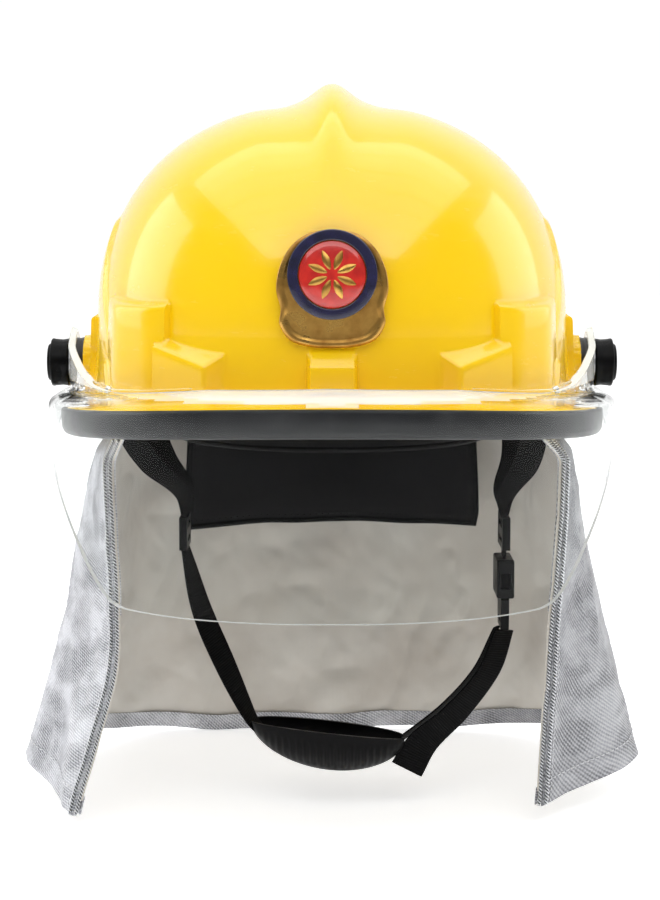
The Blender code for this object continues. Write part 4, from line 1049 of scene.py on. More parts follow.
def make_badge():
    """A struck backing plate, a dark ring, and an enamelled disc with a plain rosette."""
    outline = badge_outline(160)
    rows = []
    for shrink, stand in (
        (1.0, 0.4), (1.0, 2.2), (0.985, 2.75), (0.95, 3.0), (0.90, 2.7), (0.87, 2.2), (0.84, 2.15),
    ):
        rows.append([on_badge(x * shrink, z * shrink, stand) for x, z in outline])
    for shrink in (0.7, 0.5, 0.25, 0.02):
        rows.append([on_badge(x * shrink, z * shrink, 2.15) for x, z in outline])
    plate = grid_piece("badge_backing", rows, MATS["gold"], caps=True)
    place(plate, "helmet", "badge_gold", "badge_plate")
    rim = round_corners([(15.7, -0.6), (15.7, 1.5), (20.5, 1.5), (20.5, -0.6), (15.7, -0.6)], 0.45, 3)[:-1]
    face = [
        (15.4, -0.5), (15.4, 0.7), (15.0, 1.1), (13.0, 1.55), (10.0, 1.95), (6.0, 2.3), (2.0, 2.4),
        (0.1, 2.4),
    ]
    turns = np.linspace(0, math.tau, 120, endpoint=False)
    for part, colour, section in (("ring", "navy", rim), ("disc", "red", face)):
        rows = [
            [
                on_badge(r * math.cos(t), BADGE_DISC_UP + r * math.sin(t), 3.0 + s) for t in turns
            ] for r, s in section
        ]
        closed = part == "ring"
        made = grid_piece(f"badge_{part}_skin", rows, MATS[colour], wrap_rows=closed, caps=not closed)
        place(made, "helmet", f"badge_{colour}", f"badge_{part}")
    for k in range(LEAVES):
        add_badge_leaf(k)


def add_badge_leaf(index):
    """One raised leaf of the rosette."""
    turn = math.tau * (index + 0.5) / LEAVES
    along = np.array([math.cos(turn), math.sin(turn)])
    across = np.array([-along[1], along[0]])
    rows = []
    for k in range(13):
        share = k / 12
        half = 2.1 * math.sin(math.pi * share) ** 0.8 + 0.02
        middle = along * (2.0 + 10.5 * share)
        row = []
        for j in range(9):
            s = j / 4 - 1
            x, z = middle + across * half * s
            rise = 5.15 + 0.75 * (1 - s * s) * math.sin(math.pi * share) ** 0.5 - 0.9 * share**2
            row.append(on_badge(x, BADGE_DISC_UP + z, rise))
        rows.append(row)
    back = [[(x, y + 0.9, z) for x, y, z in row] for row in rows]
    leaf = closed_sheet(f"badge_leaf_{index + 1}", rows, back, MATS["gold"])
    place(leaf, "helmet", "badge_gold")


# ---------------------------------------- neck cape

CAPE_TOP_Z = 24.0
CAPE_TOP_FROM = 70.0  # turn in degrees where the front edge meets the shell's wall
CAPE_TOP_SETBACK = 2.6
CAPE_BELT = (
    (-113, -34), (-122, -4), (-122, 48), (-106, 98), (-62, 134), (0, 146), (62, 134), (106, 98), (122, 48),
    (123, -4), (118, -34),
)
CAPE_LOW = (
    (-110, -40), (-136, 0), (-138, 55), (-120, 112), (-70, 144), (0, 151), (70, 144), (120, 112), (138, 55),
    (136, 0), (112, -42),
)
CAPE_HEM = (
    (-132, -42), (-161, 14), (-156, 70), (-134, 128), (-74, 157), (0, 158), (74, 157), (134, 128), (155, 70),
    (158, 14), (107, -42),
)
CAPE_HEM_Z = (
    (0.0, -195), (0.12, -180), (0.25, -186), (0.4, -199), (0.6, -196), (0.75, -184), (0.88, -178), (1.0, -190)
)
# shares of the drop where the lines of its top, the top again, the belt, the low line and the hem lie
CAPE_LEVELS = (0.0, 0.10, 0.18, 0.58, 1.0)
CAPE_COLUMNS, CAPE_ROWS = 360, 120
CAPE_LAYER = 0.9
HEM_BAND = 10.5
FACING_ROWS, FACING_WIDE = 64, 26.0
LINING_ROWS = CAPE_ROWS - 4
ROPE_PITCH, ROPE_UP = 1.7, (0, 1, 0.2)
LINING_IN, FACING_IN, HEM_IN = 2.6, 3.9, 4.1  # how far each lies inside the outer cloth's face
FACING_WALL, HEM_WALL = 0.7, 0.9
ROPE_FROM, STITCH_FROM = 14, 16  # rows below the cloth's top where the front edges' trims begin


def wall_outline(turns, z, inset):
    grow = 1 + DRAFT * (DOME_LEVEL - z)
    return plan_point(turns, DOME_WIDE - inset, DOME_FRONT - inset, DOME_REAR - inset) * grow


def ease_between(levels, values, wanted):
    """Smooth interpolation without overshoot between stacked arrays (a monotone cubic)."""
    levels, values = np.asarray(levels, float), np.asarray(values, float)
    steps = np.diff(levels)[:, None, None]
    slopes = np.diff(values, axis=0) / steps
    inner = np.where(slopes[:-1] * slopes[1:] > 0, 2 * slopes[:-1] * slopes[1:], 0)
    inner = inner / np.where(inner != 0, slopes[:-1] + slopes[1:], 1)
    tangent = np.concatenate([slopes[:1], inner, slopes[-1:]])
    i = np.clip(np.searchsorted(levels, wanted, side="right") - 1, 0, len(levels) - 2)
    h = np.diff(levels)[i][:, None, None]
    t = ((wanted - levels[i]) / np.diff(levels)[i])[:, None, None]
    a, b = values[i], values[i + 1]
    return (
        a * (1 + 2 * t) * (1 - t) ** 2 + tangent[i] * h * t * (1 - t) ** 2
        + b * t**2 * (3 - 2 * t) + tangent[i + 1] * h * t**2 * (t - 1)
    )


def value_noise(u, v, across, down, seed):
    """Smooth noise of -1 to 1 on a lattice of across by down cells over shares u and v."""
    lattice = np.random.default_rng(seed).uniform(-1, 1, (down + 3, across + 3))
    x, y = np.clip(u, 0, 1) * across, np.clip(v, 0, 1) * down
    i, j = np.minimum(x.astype(int), across), np.minimum(y.astype(int), down)
    s, t = x - i, y - j
    s, t = s * s * (3 - 2 * s), t * t * (3 - 2 * t)
    low = lattice[j, i] * (1 - s) + lattice[j, i + 1] * s
    high = lattice[j + 1, i] * (1 - s) + lattice[j + 1, i + 1] * s
    return low * (1 - t) + high * t


def cape_folds(u, v, seed, sharp):
    """Outward swing of the hanging cloth: long folds that open towards the hem, and creases across them."""
    wander = value_noise(u, v, 5, 3, seed) * 0.035
    long_folds = np.sin(math.tau * (9.0 * (u + wander) + 0.2)) * (0.25 + 0.75 * v) * 2.6
    long_folds += value_noise(u + 0.3 * v, v, 18, 3, seed + 1) * 2.0 * (0.3 + v)
    creases = value_noise(u + 0.10 * v, v, 46, 9, seed + 2)
    creases = 1 - 2 * np.abs(creases)
    fine = value_noise(u - 0.12 * v, v, 110, 30, seed + 3)
    settle = smoothstep(0.0, 0.16, v)
    return settle * (long_folds + sharp * (0.9 * creases + 0.30 * fine))


def cape_surface(seed, sharp):
    """Rows of the hanging cloth from its fastening to its hem, from the right front edge round to the
    left."""
    u = np.linspace(0, 1, CAPE_COLUMNS)
    v = np.linspace(0, 1, CAPE_ROWS)
    turns = np.radians(-CAPE_TOP_FROM - (360 - 2 * CAPE_TOP_FROM) * np.arange(11) / 10)
    top = wall_outline(turns, CAPE_TOP_Z, SHELL_WALL + CAPE_TOP_SETBACK)
    lines = np.array([curve_through(knots, u) for knots in (top, top, CAPE_BELT, CAPE_LOW, CAPE_HEM)])
    plan = ease_between(CAPE_LEVELS, lines, v)
    hem = smooth_table(u, CAPE_HEM_Z)
    z = CAPE_TOP_Z + (hem[None, :] - CAPE_TOP_Z) * v[:, None]
    grid = np.concatenate([plan, z[..., None]], axis=-1)
    along = unit(np.gradient(plan, axis=1))
    outwards = np.stack([-along[..., 1], along[..., 0], 0 * z], axis=-1)
    uu, vv = np.meshgrid(u, v)
    near_edge = smoothstep(0.0, 0.03, uu) * smoothstep(0.0, 0.03, 1 - uu)
    swing = cape_folds(uu, vv, seed, sharp) * (0.25 + 0.75 * near_edge)
    return grid + outwards * swing[..., None], outwards


def cloth_map(grid, turn_from, turn_to):
    """The weave's coordinates in metres. The twill's direction turns from one front edge to the other,
    in degrees."""
    middle = grid[CAPE_ROWS // 2]
    drop = travelled_down(grid) * MM
    slant = np.radians(np.linspace(turn_from, turn_to, grid.shape[1]))
    step = np.gradient(travelled(middle) * MM)
    s = np.cumsum(np.cos(slant) * step)[None, :] - drop * np.sin(slant)
    t = np.cumsum(np.sin(slant) * step)[None, :] + drop * np.cos(slant)
    return np.stack([s, t], axis=-1)


def twisted_rope(name, line, radius):
    """Overlock edging: two strands wound round a line."""
    count = max(40, int(line_length(line) / ROPE_PITCH * 7))
    line = even_line(line, count)
    along = tangents(line)
    side = unit(np.cross(along, ROPE_UP))
    lift = unit(np.cross(side, along))
    lengths = np.linspace(0, line_length(line), count)
    points, faces = [], []
    for strand in range(2):
        phase = math.tau * (lengths / (ROPE_PITCH * 2) + strand / 2)
        centre = line + (side * np.cos(phase)[:, None] + lift * np.sin(phase)[:, None]) * radius * 0.62
        add_tube(points, faces, centre[:, None] + circles(side, lift, 8) * radius * 0.42)
    return mesh_piece(name, points, faces, MATS["rope"], sharp=70)


def stitch_row(name, line, normals, material, length=2.6, gap=1.2, radius=0.28):
    """A row of separate stitches along a line, each a little arched thread."""
    count = int(line_length(line) / (length + gap))
    dense = even_line(np.column_stack([line, normals]), count * 6)
    spots, ups = dense[:, :3], unit(dense[:, 3:])
    rise = np.array([-0.15, 0.25, 0.35, 0.25, -0.15])[:, None]
    thick = (radius * np.array([0.6, 1.0, 1.1, 1.0, 0.6]))[:, None, None]
    points, faces = [], []
    for k in range(count):
        part, up = spots[6 * k : 6 * k + 5], ups[6 * k : 6 * k + 5]
        side = unit(np.cross(tangents(part), up))
        add_tube(points, faces, (part + up * rise)[:, None] + circles(side, up, 6) * thick)
    return mesh_piece(name, points, faces, material, sharp=70)


def make_cape():
    """The silver cloth, its lining, and its trims."""
    outer, outwards = cape_surface(11, 1.0)
    weave = cloth_map(outer, 12.0, 50.0)
    back = outer - outwards * CAPE_LAYER
    cape = closed_sheet("cape_outer_cloth", outer, back, MATS["silver"], uv=weave)
    place(cape, "helmet", "cape_silver", "cape_outer")
    own, _ = cape_surface(31, 0.5)
    rumple = np.clip(np.sum((own - outer) * outwards, axis=-1, keepdims=True), -1.2, 1.2)
    lining_front = (outer - outwards * LINING_IN)[:LINING_ROWS]
    lining_back = lining_front - (outwards * (0.8 + 0.5 * (1.2 + rumple)))[:LINING_ROWS]
    plain_weave = cloth_map(outer, 0.0, 0.0)[:LINING_ROWS]
    lining = closed_sheet("cape_lining_cloth", lining_front, lining_back, MATS["lining"], uv=plain_weave)
    place(lining, "helmet", "cape_lining", "cape_lining")
    trims = make_cape_hems(outer, outwards, weave)


def add_facing(name, outer, outwards, edge):
    """The outer cloth turned in behind a front edge: widest at its top, and run out half-way down."""
    turned_over = slice(None, None, -1 if edge else 1)
    inside, facing_out = (outer - outwards * FACING_IN)[:, turned_over], outwards[:, turned_over]
    grid, normals = [], []
    for r in range(FACING_ROWS):
        wide = FACING_WIDE * (1 - r / FACING_ROWS) ** 0.7 + 0.4
        spots = even_line(inside[r, :40], 400)
        step = line_length(inside[r, :40]) / 399
        chosen = [min(399, int(wide * share / step)) for share in np.linspace(0, 1, 14)]
        grid.append(spots[chosen])
        normals.append(facing_out[r, [min(39, c // 10) for c in chosen]])
    grid, normals = np.array(grid), np.array(normals)
    slant = math.radians(50.0 if edge else -50.0)
    s = np.cumsum(np.linalg.norm(np.gradient(grid, axis=1), axis=2), axis=1) * MM
    t = np.cumsum(np.linalg.norm(np.gradient(grid, axis=0), axis=2), axis=0) * MM
    weave = np.stack(
        [s * math.cos(slant) - t * math.sin(slant), s * math.sin(slant) + t * math.cos(slant)], axis=-1,
    )
    strip = closed_sheet(name, grid, grid - normals * FACING_WALL, MATS["silver"], uv=weave)
    return place(strip, "helmet", "cape_silver")


def make_cape_hems(outer, outwards, weave):
    """The turned-up hem inside, ropes of overlock along both front edges, and the rows of stitches."""
    trims = []
    levels = np.linalg.norm(outer[-1:] - outer, axis=-1).mean(axis=1)
    first = int(np.argmax(levels < HEM_BAND))
    inside = (outer - outwards * HEM_IN)[first:]
    behind = inside - outwards[first:] * HEM_WALL
    band = closed_sheet("cape_hem_band", inside, behind, MATS["silver"], uv=weave[first:, ::-1])
    trims.append(place(band, "helmet", "cape_silver"))
    line = outer[first - 2] + outwards[first - 2] * 0.1
    stitches = stitch_row("cape_hem_stitches", line, outwards[first - 2], MATS["thread"])
    trims.append(place(stitches, "helmet", "cape_silver"))
    for name, edge, inner in (("right", 0, 1), ("left", -1, -2)):
        trims.append(add_facing(f"cape_{name}_facing", outer, outwards, edge))
        start, out = outer[ROPE_FROM:, edge], outwards[ROPE_FROM:, edge]
        into = unit(outer[ROPE_FROM:, inner] - start)
        first_line = start - out * 1.6 - into * 0.7
        second_line = start + out * 0.5 + into * 2.3
        ropes = (("edge", first_line, 1.1, [f"cape_front_hem_{name}"]), ("second", second_line, 1.25, []))
        for label, line, radius, nodes in ropes:
            rope = twisted_rope(f"cape_{name}_{label}_rope", line, radius)
            trims.append(place(rope, "helmet", "cape_silver", *nodes))
        for label, line, _, _ in ropes:
            core = tube_along(f"cape_{name}_{label}_core", line, 0.75, MATS["core"], 8, up=ROPE_UP)
            trims.append(place(core, "helmet", "cape_silver"))
        below, ups = STITCH_FROM - ROPE_FROM, outwards[STITCH_FROM:, edge]
        third = start[below:] + ups * 0.15 + into[below:] * 6.4
        row = stitch_row(f"cape_{name}_edge_stitches", third, ups, MATS["thread"], 2.0, 0.9)
        trims.append(place(row, "helmet", "cape_silver"))
    return trims


# ---------------------------------------- webbing

def web_piece(name, line, across, wide=WEB_WIDE, wall=WEB_WALL):
    """A strap along a line, thinner at its edges. across is the direction of its width, there or at
    each point."""
    packed = np.column_stack([line, np.broadcast_to(np.asarray(across, float), (len(line), 3))])
    dense = even_line(packed, max(12, int(line_length(line) / 1.6)))
    line, side = dense[:, :3], dense[:, 3:]
    along = tangents(line)
    side = unit(side - along * np.sum(side * along, axis=1, keepdims=True))
    share = np.linspace(-1, 1, 9)
    crown = 1 - 0.5 * np.abs(share) ** 4
    middle = line[:, None] + side[:, None] * (share * wide / 2)[None, :, None]
    face = np.cross(along, side)[:, None] * (wall / 2 * crown)[None, :, None]
    uv = np.stack(np.meshgrid(share * wide / 2 * MM, travelled(line) * MM), axis=-1)
    return closed_sheet(name, middle + face, middle - face, MATS["webbing"], uv=uv, sharp=60)


def turned_across(start, end, count):
    share = np.linspace(0, 1, count)[:, None]
    return np.asarray(start, float) * (1 - share) + np.asarray(end, float) * share


# ---------------------------------------- chin harness

RIGHT_SLIDER_X, LEFT_SLIDER_X = -76.0, 89.0
HARNESS_Z = -61.0
LEG_WIDE = 15.2
CUP_RIGHT_END = np.array([-42.0, HARNESS_Y, -152.0])
CUP_LEFT_END = np.array([38.0, HARNESS_Y, -161.0])
BUCKLE_TOP = np.array([89.0, HARNESS_Y, -66.0])
BUCKLE_END = np.array([86.0, HARNESS_Y, -103.0])


def make_chin_straps():
    """The straps below the sliders: one on the right, a short one, a chin strap and a loose tail on
    the left."""
    y = HARNESS_Y
    line = smooth_line(
        [
            (RIGHT_SLIDER_X, y, HARNESS_Z - 0.4), (-68.0, y, -93.0), (-56.0, y, -122.0),
            CUP_RIGHT_END + [-1.0, 0, 2.0], CUP_RIGHT_END + [5.0, 0, -6.0],
        ],
        96,
    )
    faced = 0.1 + 0.45 * np.sin(np.linspace(0, math.pi, 96))
    strap = web_piece("right_chin_web", line, np.column_stack([faced, np.ones(96), np.zeros(96)]))
    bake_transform(strap)
    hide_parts("right_chin_strap")
    line = smooth_line([(LEFT_SLIDER_X, y, HARNESS_Z - 0.4), BUCKLE_TOP + [0, 0, 0.4]], 8)
    strap = web_piece("left_short_web", line, (0, 1, 0))
    place(strap, "harness", "webbing", "left_short_strap")
    line = smooth_line(
        [
            BUCKLE_END + [-0.5, 0, -0.4], (76.0, y, -124.0), (60.0, y, -143.0), CUP_LEFT_END + [1.5, 0, 1.0],
            CUP_LEFT_END + [-5.0, 0, -4.0],
        ],
        80,
    )
    strap = web_piece("left_chin_web", line, turned_across((0.3, 1, 0), (0.5, 0.85, 0), 80))
    place(strap, "chin_strap", "webbing", "left_chin_strap")
    line = smooth_line(
        [
            BUCKLE_END + [3.5, 0, -1.8], (81.5, y, -127.0), (65.0, y - 1, -148.0), (47.5, y - 3, -164.0),
            (39.0, y - 4, -178.0),
        ],
        100,
    )
    strap = web_piece("strap_tail_web", line, turned_across((0.6, 0.8, 0), (0.95, 0.3, 0), 100))
    place(strap, "chin_strap", "webbing", "strap_tail")


CUP_HALF_LONG, CUP_WALL, CUP_COLUMNS = 39.5, 1.8, 270
CUP_RIB_PITCH, CUP_RIB_DEPTH = 3.5, 0.7


def make_chin_cup():
    """A moulded trough for the chin, with upright ribs below its front lip and its ends drawn out to
    the straps."""
    middle = (CUP_RIGHT_END + CUP_LEFT_END) / 2
    outer, inner = [], []
    for k in range(CUP_COLUMNS + 1):
        share = 2 * k / CUP_COLUMNS - 1
        x = middle[0] + share * CUP_HALF_LONG
        rim = CUP_RIGHT_END[2] + (CUP_LEFT_END[2] - CUP_RIGHT_END[2]) * (share + 1) / 2 - 1.0
        bow = max(0.0, 1 - share * share)
        sag = 18.8 * bow**0.62 + 2.4
        half = 9.5 + 11.3 * bow**0.5
        rib = CUP_RIB_DEPTH * (1 - math.cos(x * math.tau / CUP_RIB_PITCH)) / 2 * min(1.0, bow * 1.6)
        row_out, row_in = [], []
        for swing in np.radians(np.linspace(-92, 92, 41)):
            groove = rib * max(0.0, 1 - ((swing + 0.95) / 0.42) ** 4)
            lift = (2.0 if swing < 0 else -1.0) * abs(math.sin(swing)) ** 3
            for row, depth in ((row_out, groove), (row_in, CUP_WALL)):
                y, z = (half - depth) * math.sin(swing), -(sag - depth) * math.cos(swing)
                row.append((x, HARNESS_Y + y, rim + z + lift))
        outer.append(row_out)
        inner.append(row_in)
    cup = closed_sheet("chin_cup_skin", outer, inner, MATS["plastic"])
    place(cup, "chin_strap", "buckle_plastic", "chin_cup")


def make_legs():
    """Straps from the shell's rivets to the sliders, edge-on at both ends and turned to the front between them.

    They hang from the shell above the sliders' swing line, and follow the chin harness below it."""
    for side, name, slider_x in ((-1, "right", RIGHT_SLIDER_X), (1, "left", LEFT_SLIDER_X)):
        for end, y in (("front", -40.0), ("rear", 52.0)):
            far = DOME_FRONT if y < 0 else DOME_REAR
            wall_x = (DOME_WIDE - SHELL_WALL) * (1 - (abs(y) / far) ** PLAN_POWER) ** (1 / PLAN_POWER)
            lean = math.copysign(1.0, y - HARNESS_Y)
            top = np.array([side * (wall_x - 8.0), y, 24.0])
            middle = np.array([side * (wall_x - 8.0), y * 0.86 + HARNESS_Y * 0.14, 2.0])
            foot = np.array([slider_x + side * 1.2, HARNESS_Y + lean * 7.0, -32.0])
            last = np.array([slider_x + side * 0.4, HARNESS_Y + lean * 2.5, -49.0])
            lower = middle * 0.45 + foot * 0.55 + np.array([side * 3.0, 0.0, 0.0])
            line = smooth_line([top, middle, lower, foot, last], 80)
            turn = np.sin(np.linspace(0, math.pi, 80))[:, None] * 1.3
            across = unit(
                np.array([0.0, 1.0, 0.0]) * (1.3 - turn * 0.7) + np.array([-lean * side, 0.0, 0.0]) * turn
            )
            leg = web_piece(f"{name}_{end}_leg_web", line, across, LEG_WIDE)
            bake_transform(leg)
            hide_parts(f"{name}_{end}_leg")


# ---------------------------------------- suspension and pads

BAND_WIDE, BAND_FRONT, BAND_REAR, BAND_POWER = 86.0, 106.0, 102.0, 2.2
LINER_LOW, LINER_WALL = 47.0, 16.0
NAPE_SEAM, BAND_SEAM = 3.0, 2.4  # how wide each pad's binding is
CROWN_STRAP_WIDE, CROWN_STRAP_WALL = 20.0, 1.4


def edge_shares(length, seam, step):
    """Shares of a length, with points close together over the binding at both ends."""
    near = seam * np.array([0, 0.08, 0.25, 0.5, 0.75, 0.92, 1.0, 1.15, 1.6, 2.2, 3.0])
    count = max(3, int((length - 2 * near[-1]) / step))
    spots = np.concatenate(
        [near[:-1], np.linspace(near[-1], length - near[-1], count), length - near[-2::-1]]
    )
    return spots / length


def cushion(name, middle, towards, half_wall, seam):
    """A padded piece round a middle surface, with its front face's grid.

    A rolled binding runs round its edge, with a sewn groove inside that, and the filling swells beyond the groove."""
    down, over = travelled_down(middle), travelled_down(middle.swapaxes(0, 1)).T
    inside = np.minimum(np.minimum(down, down[-1:] - down), np.minimum(over, over[:, -1:] - over))
    rolled = np.sqrt(np.clip(1 - ((inside - seam / 2) / (seam / 2)) ** 2, 0, 1)) * 0.8
    groove = np.where(inside < seam / 2, 0.12, 0.32)
    swell = 0.32 + 0.68 * smoothstep(seam, seam * 3.4, inside)
    thick = half_wall * np.where(inside < seam, np.maximum(rolled, groove), swell)
    normals = grid_normals(middle)
    normals = normals * np.where(
        np.sum(normals * np.asarray(towards, float), axis=-1, keepdims=True) < 0, -1, 1,
    )
    front = middle + normals * thick[..., None]
    back = middle - normals * thick[..., None]
    return closed_sheet(name, front, back, MATS["leather"], sharp=60), front, normals


SEAM_STEPS = 8  # grid steps from a cushion's edge to its seam


def sew_round(name, front, normals):
    """A row of stitches just inside a cushion's binding, on its front face."""
    first, last = SEAM_STEPS, -1 - SEAM_STEPS
    both = np.concatenate([front + normals * 0.12, normals], axis=-1)
    loop = [
        both[first, first:last], both[first:last, last], both[last, first:last][::-1],
        both[first:last, first][::-1],
    ]
    line, ups = np.split(np.concatenate(loop), 2, axis=1)
    return stitch_row(name, line, ups, MATS["black_thread"], 2.4, 1.1, 0.24)


def make_nape_pad():
    """A leather cloth pad behind the neck, bound and sewn round its edge, slack and a little wavy at
    its foot."""
    s, t = np.meshgrid(edge_shares(164.0, NAPE_SEAM, 1.8) * 2 - 1, edge_shares(64.0, NAPE_SEAM, 1.8))
    half = smooth_table(t, ((0, 80.0), (0.28, 81.0), (0.6, 82.0), (0.88, 82.5), (1.0, 81.0)))
    share = (s + 1) / 2
    slack = smoothstep(0.0, 0.4, t)
    y = 103.0 - 20.0 * s**2 + 1.2 * slack * value_noise(share, t, 9, 3, 61)
    z = -2.0 - 63.0 * t + 0.8 * slack * value_noise(
        share, t * 0.2, 8, 1, 62,
    ) - 1.6 * slack * smoothstep(0.3, 1.0, -s)
    pad, front, normals = cushion(
        "nape_pad_skin", np.stack([half * s, y, z], axis=-1), (0, -1, 0), 2.1, NAPE_SEAM,
    )
    place(pad, "helmet", "pad_leather", "nape_pad")
    place(sew_round("nape_pad_stitches", front, normals), "helmet", "pad_leather")
    hanger = web_piece(
        "nape_hanger_web", smooth_line([(0, 96.6, 28), (0, 96.6, 7), (0, 96.6, -14)], 30), (1, 0, 0), 47.0,
        2.0,
    )
    place(hanger, "helmet", "webbing", "nape_pad_hanger")


def make_sweatband():
    """A soft band inside the headband, sewn along both edges."""
    turns = np.radians(-104 + 208 * edge_shares(330.0, BAND_SEAM, 2.2))
    shares = edge_shares(30.0, BAND_SEAM, 1.8)
    t, v = np.meshgrid(turns, shares)
    swell = 0.35 * value_noise((t + math.pi) / math.tau, v, 46, 2, 71)
    inset = 4.1 - swell
    plan = plan_point(t, BAND_WIDE - inset, BAND_FRONT - inset, BAND_REAR - inset, BAND_POWER)
    grid = np.concatenate([plan, (29.0 - 30.0 * v)[..., None]], axis=-1)
    towards = -np.concatenate([plan, 0 * plan[..., :1]], axis=-1)
    band, front, normals = cushion("sweatband_skin", grid, towards, 1.6, BAND_SEAM)
    place(band, "helmet", "pad_leather", "sweatband")
    place(sew_round("sweatband_stitches", front, normals), "helmet", "pad_leather")


def make_crown_pad():
    """A quilted round pad over the top of the head."""
    turns = np.linspace(0, math.tau, 144, endpoint=False)
    radii = np.array([
        0, 2, 4, 6, 8, 10, 11.5, 12.6, 13.3, 14, 14.7, 15.4, 16.5, 18, 20, 22, 24, 26, 28, 30, 31.5, 32.6, 33.6, 34.3,
        34.6,
    ])
    r, a = np.meshgrid(radii, turns, indexing="ij")
    middle = 124.0 - 7.6 * (r / 35.0) ** 2
    across = r * np.abs(np.sin(3 * a)) / 3
    creases = np.exp(-((r - 14.0) / 1.3) ** 2) + np.where(r > 14, np.exp(-((across / 1.2) ** 2)), 0)
    half = 2.9 * np.sqrt(np.clip(1 - (r / 35.0) ** 6, 0.02, 1)) * (1 - 0.5 * np.clip(creases, 0, 1))
    flat = np.stack([r * np.cos(a), r * np.sin(a)], axis=-1)
    top = np.concatenate([flat, (middle + half)[..., None]], axis=-1)
    under = np.concatenate([flat, (middle - half)[..., None]], axis=-1)[::-1]
    pad = weld(grid_piece("crown_pad_skin", np.concatenate([top, under]), MATS["leather"], wrap_rows=True))
    place(pad, "helmet", "pad_leather", "crown_pad")


def make_crown_straps():
    """Three straps that cross over the head, each a little above the last."""
    for layer, (name, degrees) in enumerate((("centre", 0), ("left", 50), ("right", -50))):
        turn = math.radians(degrees)
        direction = np.array([math.sin(turn), -math.cos(turn), 0.0])
        line = []
        for swing in np.linspace(-math.pi / 2, math.pi / 2, 61):
            end = turn if swing < 0 else turn + math.pi
            reach = np.linalg.norm(
                wall_outline(np.array([end]), LINER_LOW, SHELL_WALL + 1 + LINER_WALL)
            ) - 5.6
            flat = math.copysign(abs(math.sin(swing)) ** (2 / PROFILE_POWER), -swing)
            rise = abs(math.cos(swing)) ** (2 / PROFILE_POWER)
            line.append(direction * flat * reach + [0, 0, 38.0 + (93.0 + 2.4 * layer) * rise])
        side = np.array([-direction[1], direction[0], 0.0])
        strap = web_piece(f"crown_{name}_web", line, side, CROWN_STRAP_WIDE, CROWN_STRAP_WALL)
        place(strap, "helmet", "webbing", f"crown_strap_{name}")


def dome_ring(turns, share, inset):
    """One ring of the plain dome, from its widest level at share 0 to its top at 1."""
    rise = share * math.pi / 2
    plan = plan_point(turns, DOME_WIDE - inset, DOME_FRONT - inset, DOME_REAR - inset)
    z = DOME_LEVEL + (DOME_RISE - inset) * math.sin(rise) ** (2 / PROFILE_POWER)
    return np.column_stack(
        [plan * max(0.0, math.cos(rise)) ** (2 / PROFILE_POWER), np.broadcast_to(z, turns.shape)]
    )


def make_liner():
    """Impact foam under the crown, with shallow air channels pressed into its underside."""
    turns = np.linspace(0, math.tau, 192, endpoint=False)
    shares = np.linspace(0.02, 0.995, 40)
    outside = SHELL_WALL + 1.7
    outer = [np.column_stack([wall_outline(turns, LINER_LOW, outside), np.full(192, LINER_LOW)])]
    outer += [dome_ring(turns, share, outside) for share in shares]
    channel = 1.3 * smoothstep(0.9, 0.98, np.abs(np.cos(4 * turns)))
    inset = outside + LINER_WALL - channel
    inner = [np.column_stack([wall_outline(turns, LINER_LOW, inset), np.full(192, LINER_LOW)])]
    for share in shares:
        rim = dome_ring(turns, share, outside + LINER_WALL)
        rim[:, :2] *= (1 + channel * (1 - share) / 90)[:, None]
        inner.append(rim)
    liner = grid_piece("liner_skin", outer[::-1] + inner, MATS["foam"], caps=True)
    place(liner, "helmet", "liner_foam", "impact_liner")


# ---------------------------------------- finishes of the CAD's own nodes

def dress_nodes():
    """CAD nodes whose shape is right keep it and take a detailed material."""
    by_slot = {
        "steel": "steel", "band_plastic": "plastic", "buckle_plastic": "plastic", "webbing": "webbing",
        "liner_foam": "foam", "pad_leather": "leather", "trim_rubber": "rubber", "knob_black": "knob",
        "badge_gold": "gold", "badge_navy": "navy", "badge_red": "red", "shell_yellow": "shell",
        "visor_clear": "visor", "cape_silver": "silver", "cape_lining": "lining",
    }
    for part in frame["record"]["subparts"]:
        node = frame["nodes"].get(part["node"])
        if node is None:
            continue
        node.data.materials.clear()
        node.data.materials.append(MATS[by_slot[part["material_slot"]]])


# ---------------------------------------- stage

FLOOR_DARK_Y, FLOOR_WHITE_Y, FLOOR_GLOW = -1.0, -0.75, 0.62  # metres, metres, radiance

FLOOR_SIZE, FLOOR_BELOW, FLOOR_ROUGH = 6000.0, 0.6, 0.6

TOP_PANELS = (1.5, 1.5, 1.6, 1.7, 1.9, 2.2, 2.5, 2.8)  # radiance of each, from the rear to the front
TOP_PANEL_SIZE, TOP_PANEL_Z, TOP_FIRST_Y, TOP_STEP_Y = (2.2, 0.285), 1.2, 0.4, 0.3
SIDE_PANEL_SIZE = (0.9, 1.0)

WORLD_RAMP = {"From Min": -0.1, "From Max": 0.7, "To Min": 0.2, "To Max": 1.02}

LENS_MM, SENSOR_MM = 85.1, 36.0
CAMERA_AT, CAMERA_DIP = (-0.00103, -1.09787, 0.1162), 6.65  # metres, and degrees below level


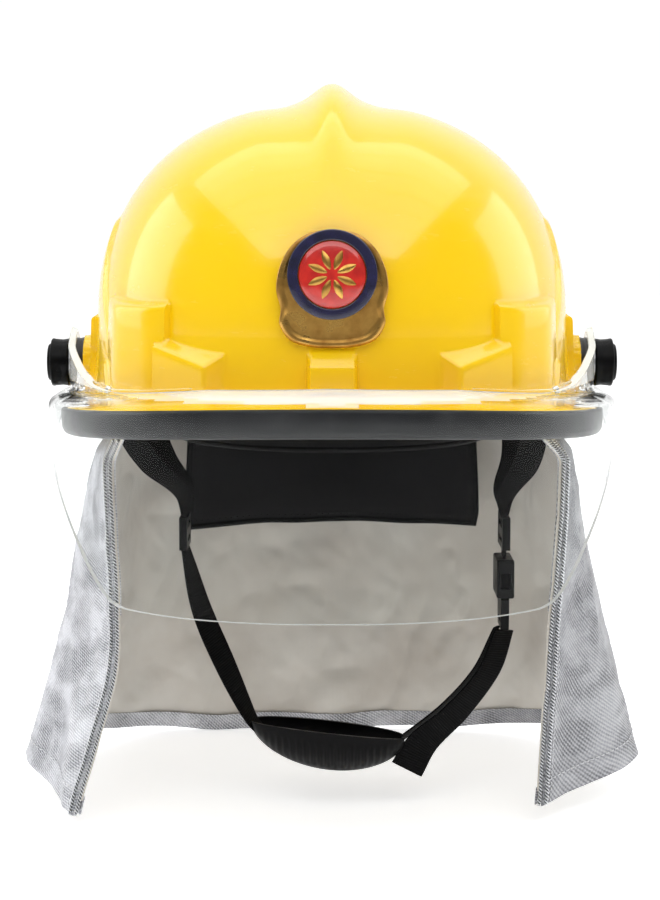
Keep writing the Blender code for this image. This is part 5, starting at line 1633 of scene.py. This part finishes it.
def make_floor():
    """A pale floor that glows under and behind the object, and not in front, where the room is dark."""
    g = Graph("floor_paint", (0.93, 0.93, 0.93, 1.0), FLOOR_ROUGH)
    g.roughness(g.remap(g.noise(3.0, 2.0), 0.3, 0.7, FLOOR_ROUGH - 0.05, FLOOR_ROUGH + 0.05))
    parts = g.node("ShaderNodeSeparateXYZ", {"Vector": g.coords.outputs["Object"]})
    glow = g.remap(parts.outputs["Y"], FLOOR_DARK_Y, FLOOR_WHITE_Y, 0.0, FLOOR_GLOW)
    g.feed(g.shader.inputs["Emission Color"], (1.0, 1.0, 1.0, 1.0))
    g.feed(g.shader.inputs["Emission Strength"], glow)
    low = CAD_BOX[0][2] / MM - FLOOR_BELOW
    corners = [(x * FLOOR_SIZE, y * FLOOR_SIZE, low) for x, y in ((-1, -1), (1, -1), (1, 1), (-1, 1))]
    floor = mesh_piece("floor", corners, [(0, 1, 2, 3)], g.material)


def add_panel(name, place_at, aim, size, radiance):
    data = bpy.data.lights.new(name, "AREA")
    data.shape = "RECTANGLE"
    data.size, data.size_y = size
    data.energy = radiance * math.pi * size[0] * size[1]
    obj = add_object(name, data)
    obj.location = place_at
    obj.rotation_euler = (Vector(aim) - Vector(place_at)).to_track_quat("-Z", "Y").to_euler()


def make_lights():
    """Soft panels, each given by its radiance: rows of overhead panels with thin gaps, and one at each
    side."""
    for k, radiance in enumerate(TOP_PANELS):
        y = TOP_FIRST_Y - TOP_STEP_Y * k
        add_panel(f"top_{k + 1}", (0.0, y, TOP_PANEL_Z), (0.0, y, 0.0), TOP_PANEL_SIZE, radiance)
    for name, place_at, radiance in (
        ("key_left", (-1.4, 0.35, 0.5), 1.9), ("key_right", (1.4, 0.4, 0.5), 1.6),
    ):
        add_panel(name, place_at, (0, 0, 0.02), SIDE_PANEL_SIZE, radiance)


def make_world():
    """White behind the object, and greyer in front of it and at its sides, so that its shape reads."""
    world = bpy.context.scene.world or bpy.data.worlds.new("studio")
    bpy.context.scene.world = world
    world.use_nodes = True
    tree = world.node_tree
    coords = tree.nodes.new("ShaderNodeTexCoord")
    parts = tree.nodes.new("ShaderNodeSeparateXYZ")
    tree.links.new(coords.outputs["Generated"], parts.inputs["Vector"])
    ramp = tree.nodes.new("ShaderNodeMapRange")
    for label, value in WORLD_RAMP.items():
        ramp.inputs[label].default_value = value
    tree.links.new(parts.outputs["Y"], ramp.inputs["Value"])
    shade = tree.nodes["Background"]
    shade.inputs["Color"].default_value = (1.0, 1.0, 1.0, 1.0)
    tree.links.new(ramp.outputs["Result"], shade.inputs["Strength"])


def make_camera():
    data = bpy.data.cameras.new("camera")
    data.lens = LENS_MM
    data.sensor_width = SENSOR_MM
    obj = add_object("camera", data)
    obj.location = CAMERA_AT
    obj.rotation_euler = (math.radians(90 - CAMERA_DIP), 0, 0)
    bpy.context.scene.camera = obj
    bpy.context.scene.view_settings.view_transform = "Standard"


# ---------------------------------------- all together

for make in (
    make_camera, make_floor, make_world, make_lights, dress_nodes, make_shell, make_brim_trim, make_visor, make_pivots,
    make_badge, make_cape, make_chin_straps, make_chin_cup, make_legs, make_nape_pad, make_sweatband, make_crown_pad,
    make_crown_straps, make_liner,
):
    make()

bpy.context.view_layer.update()
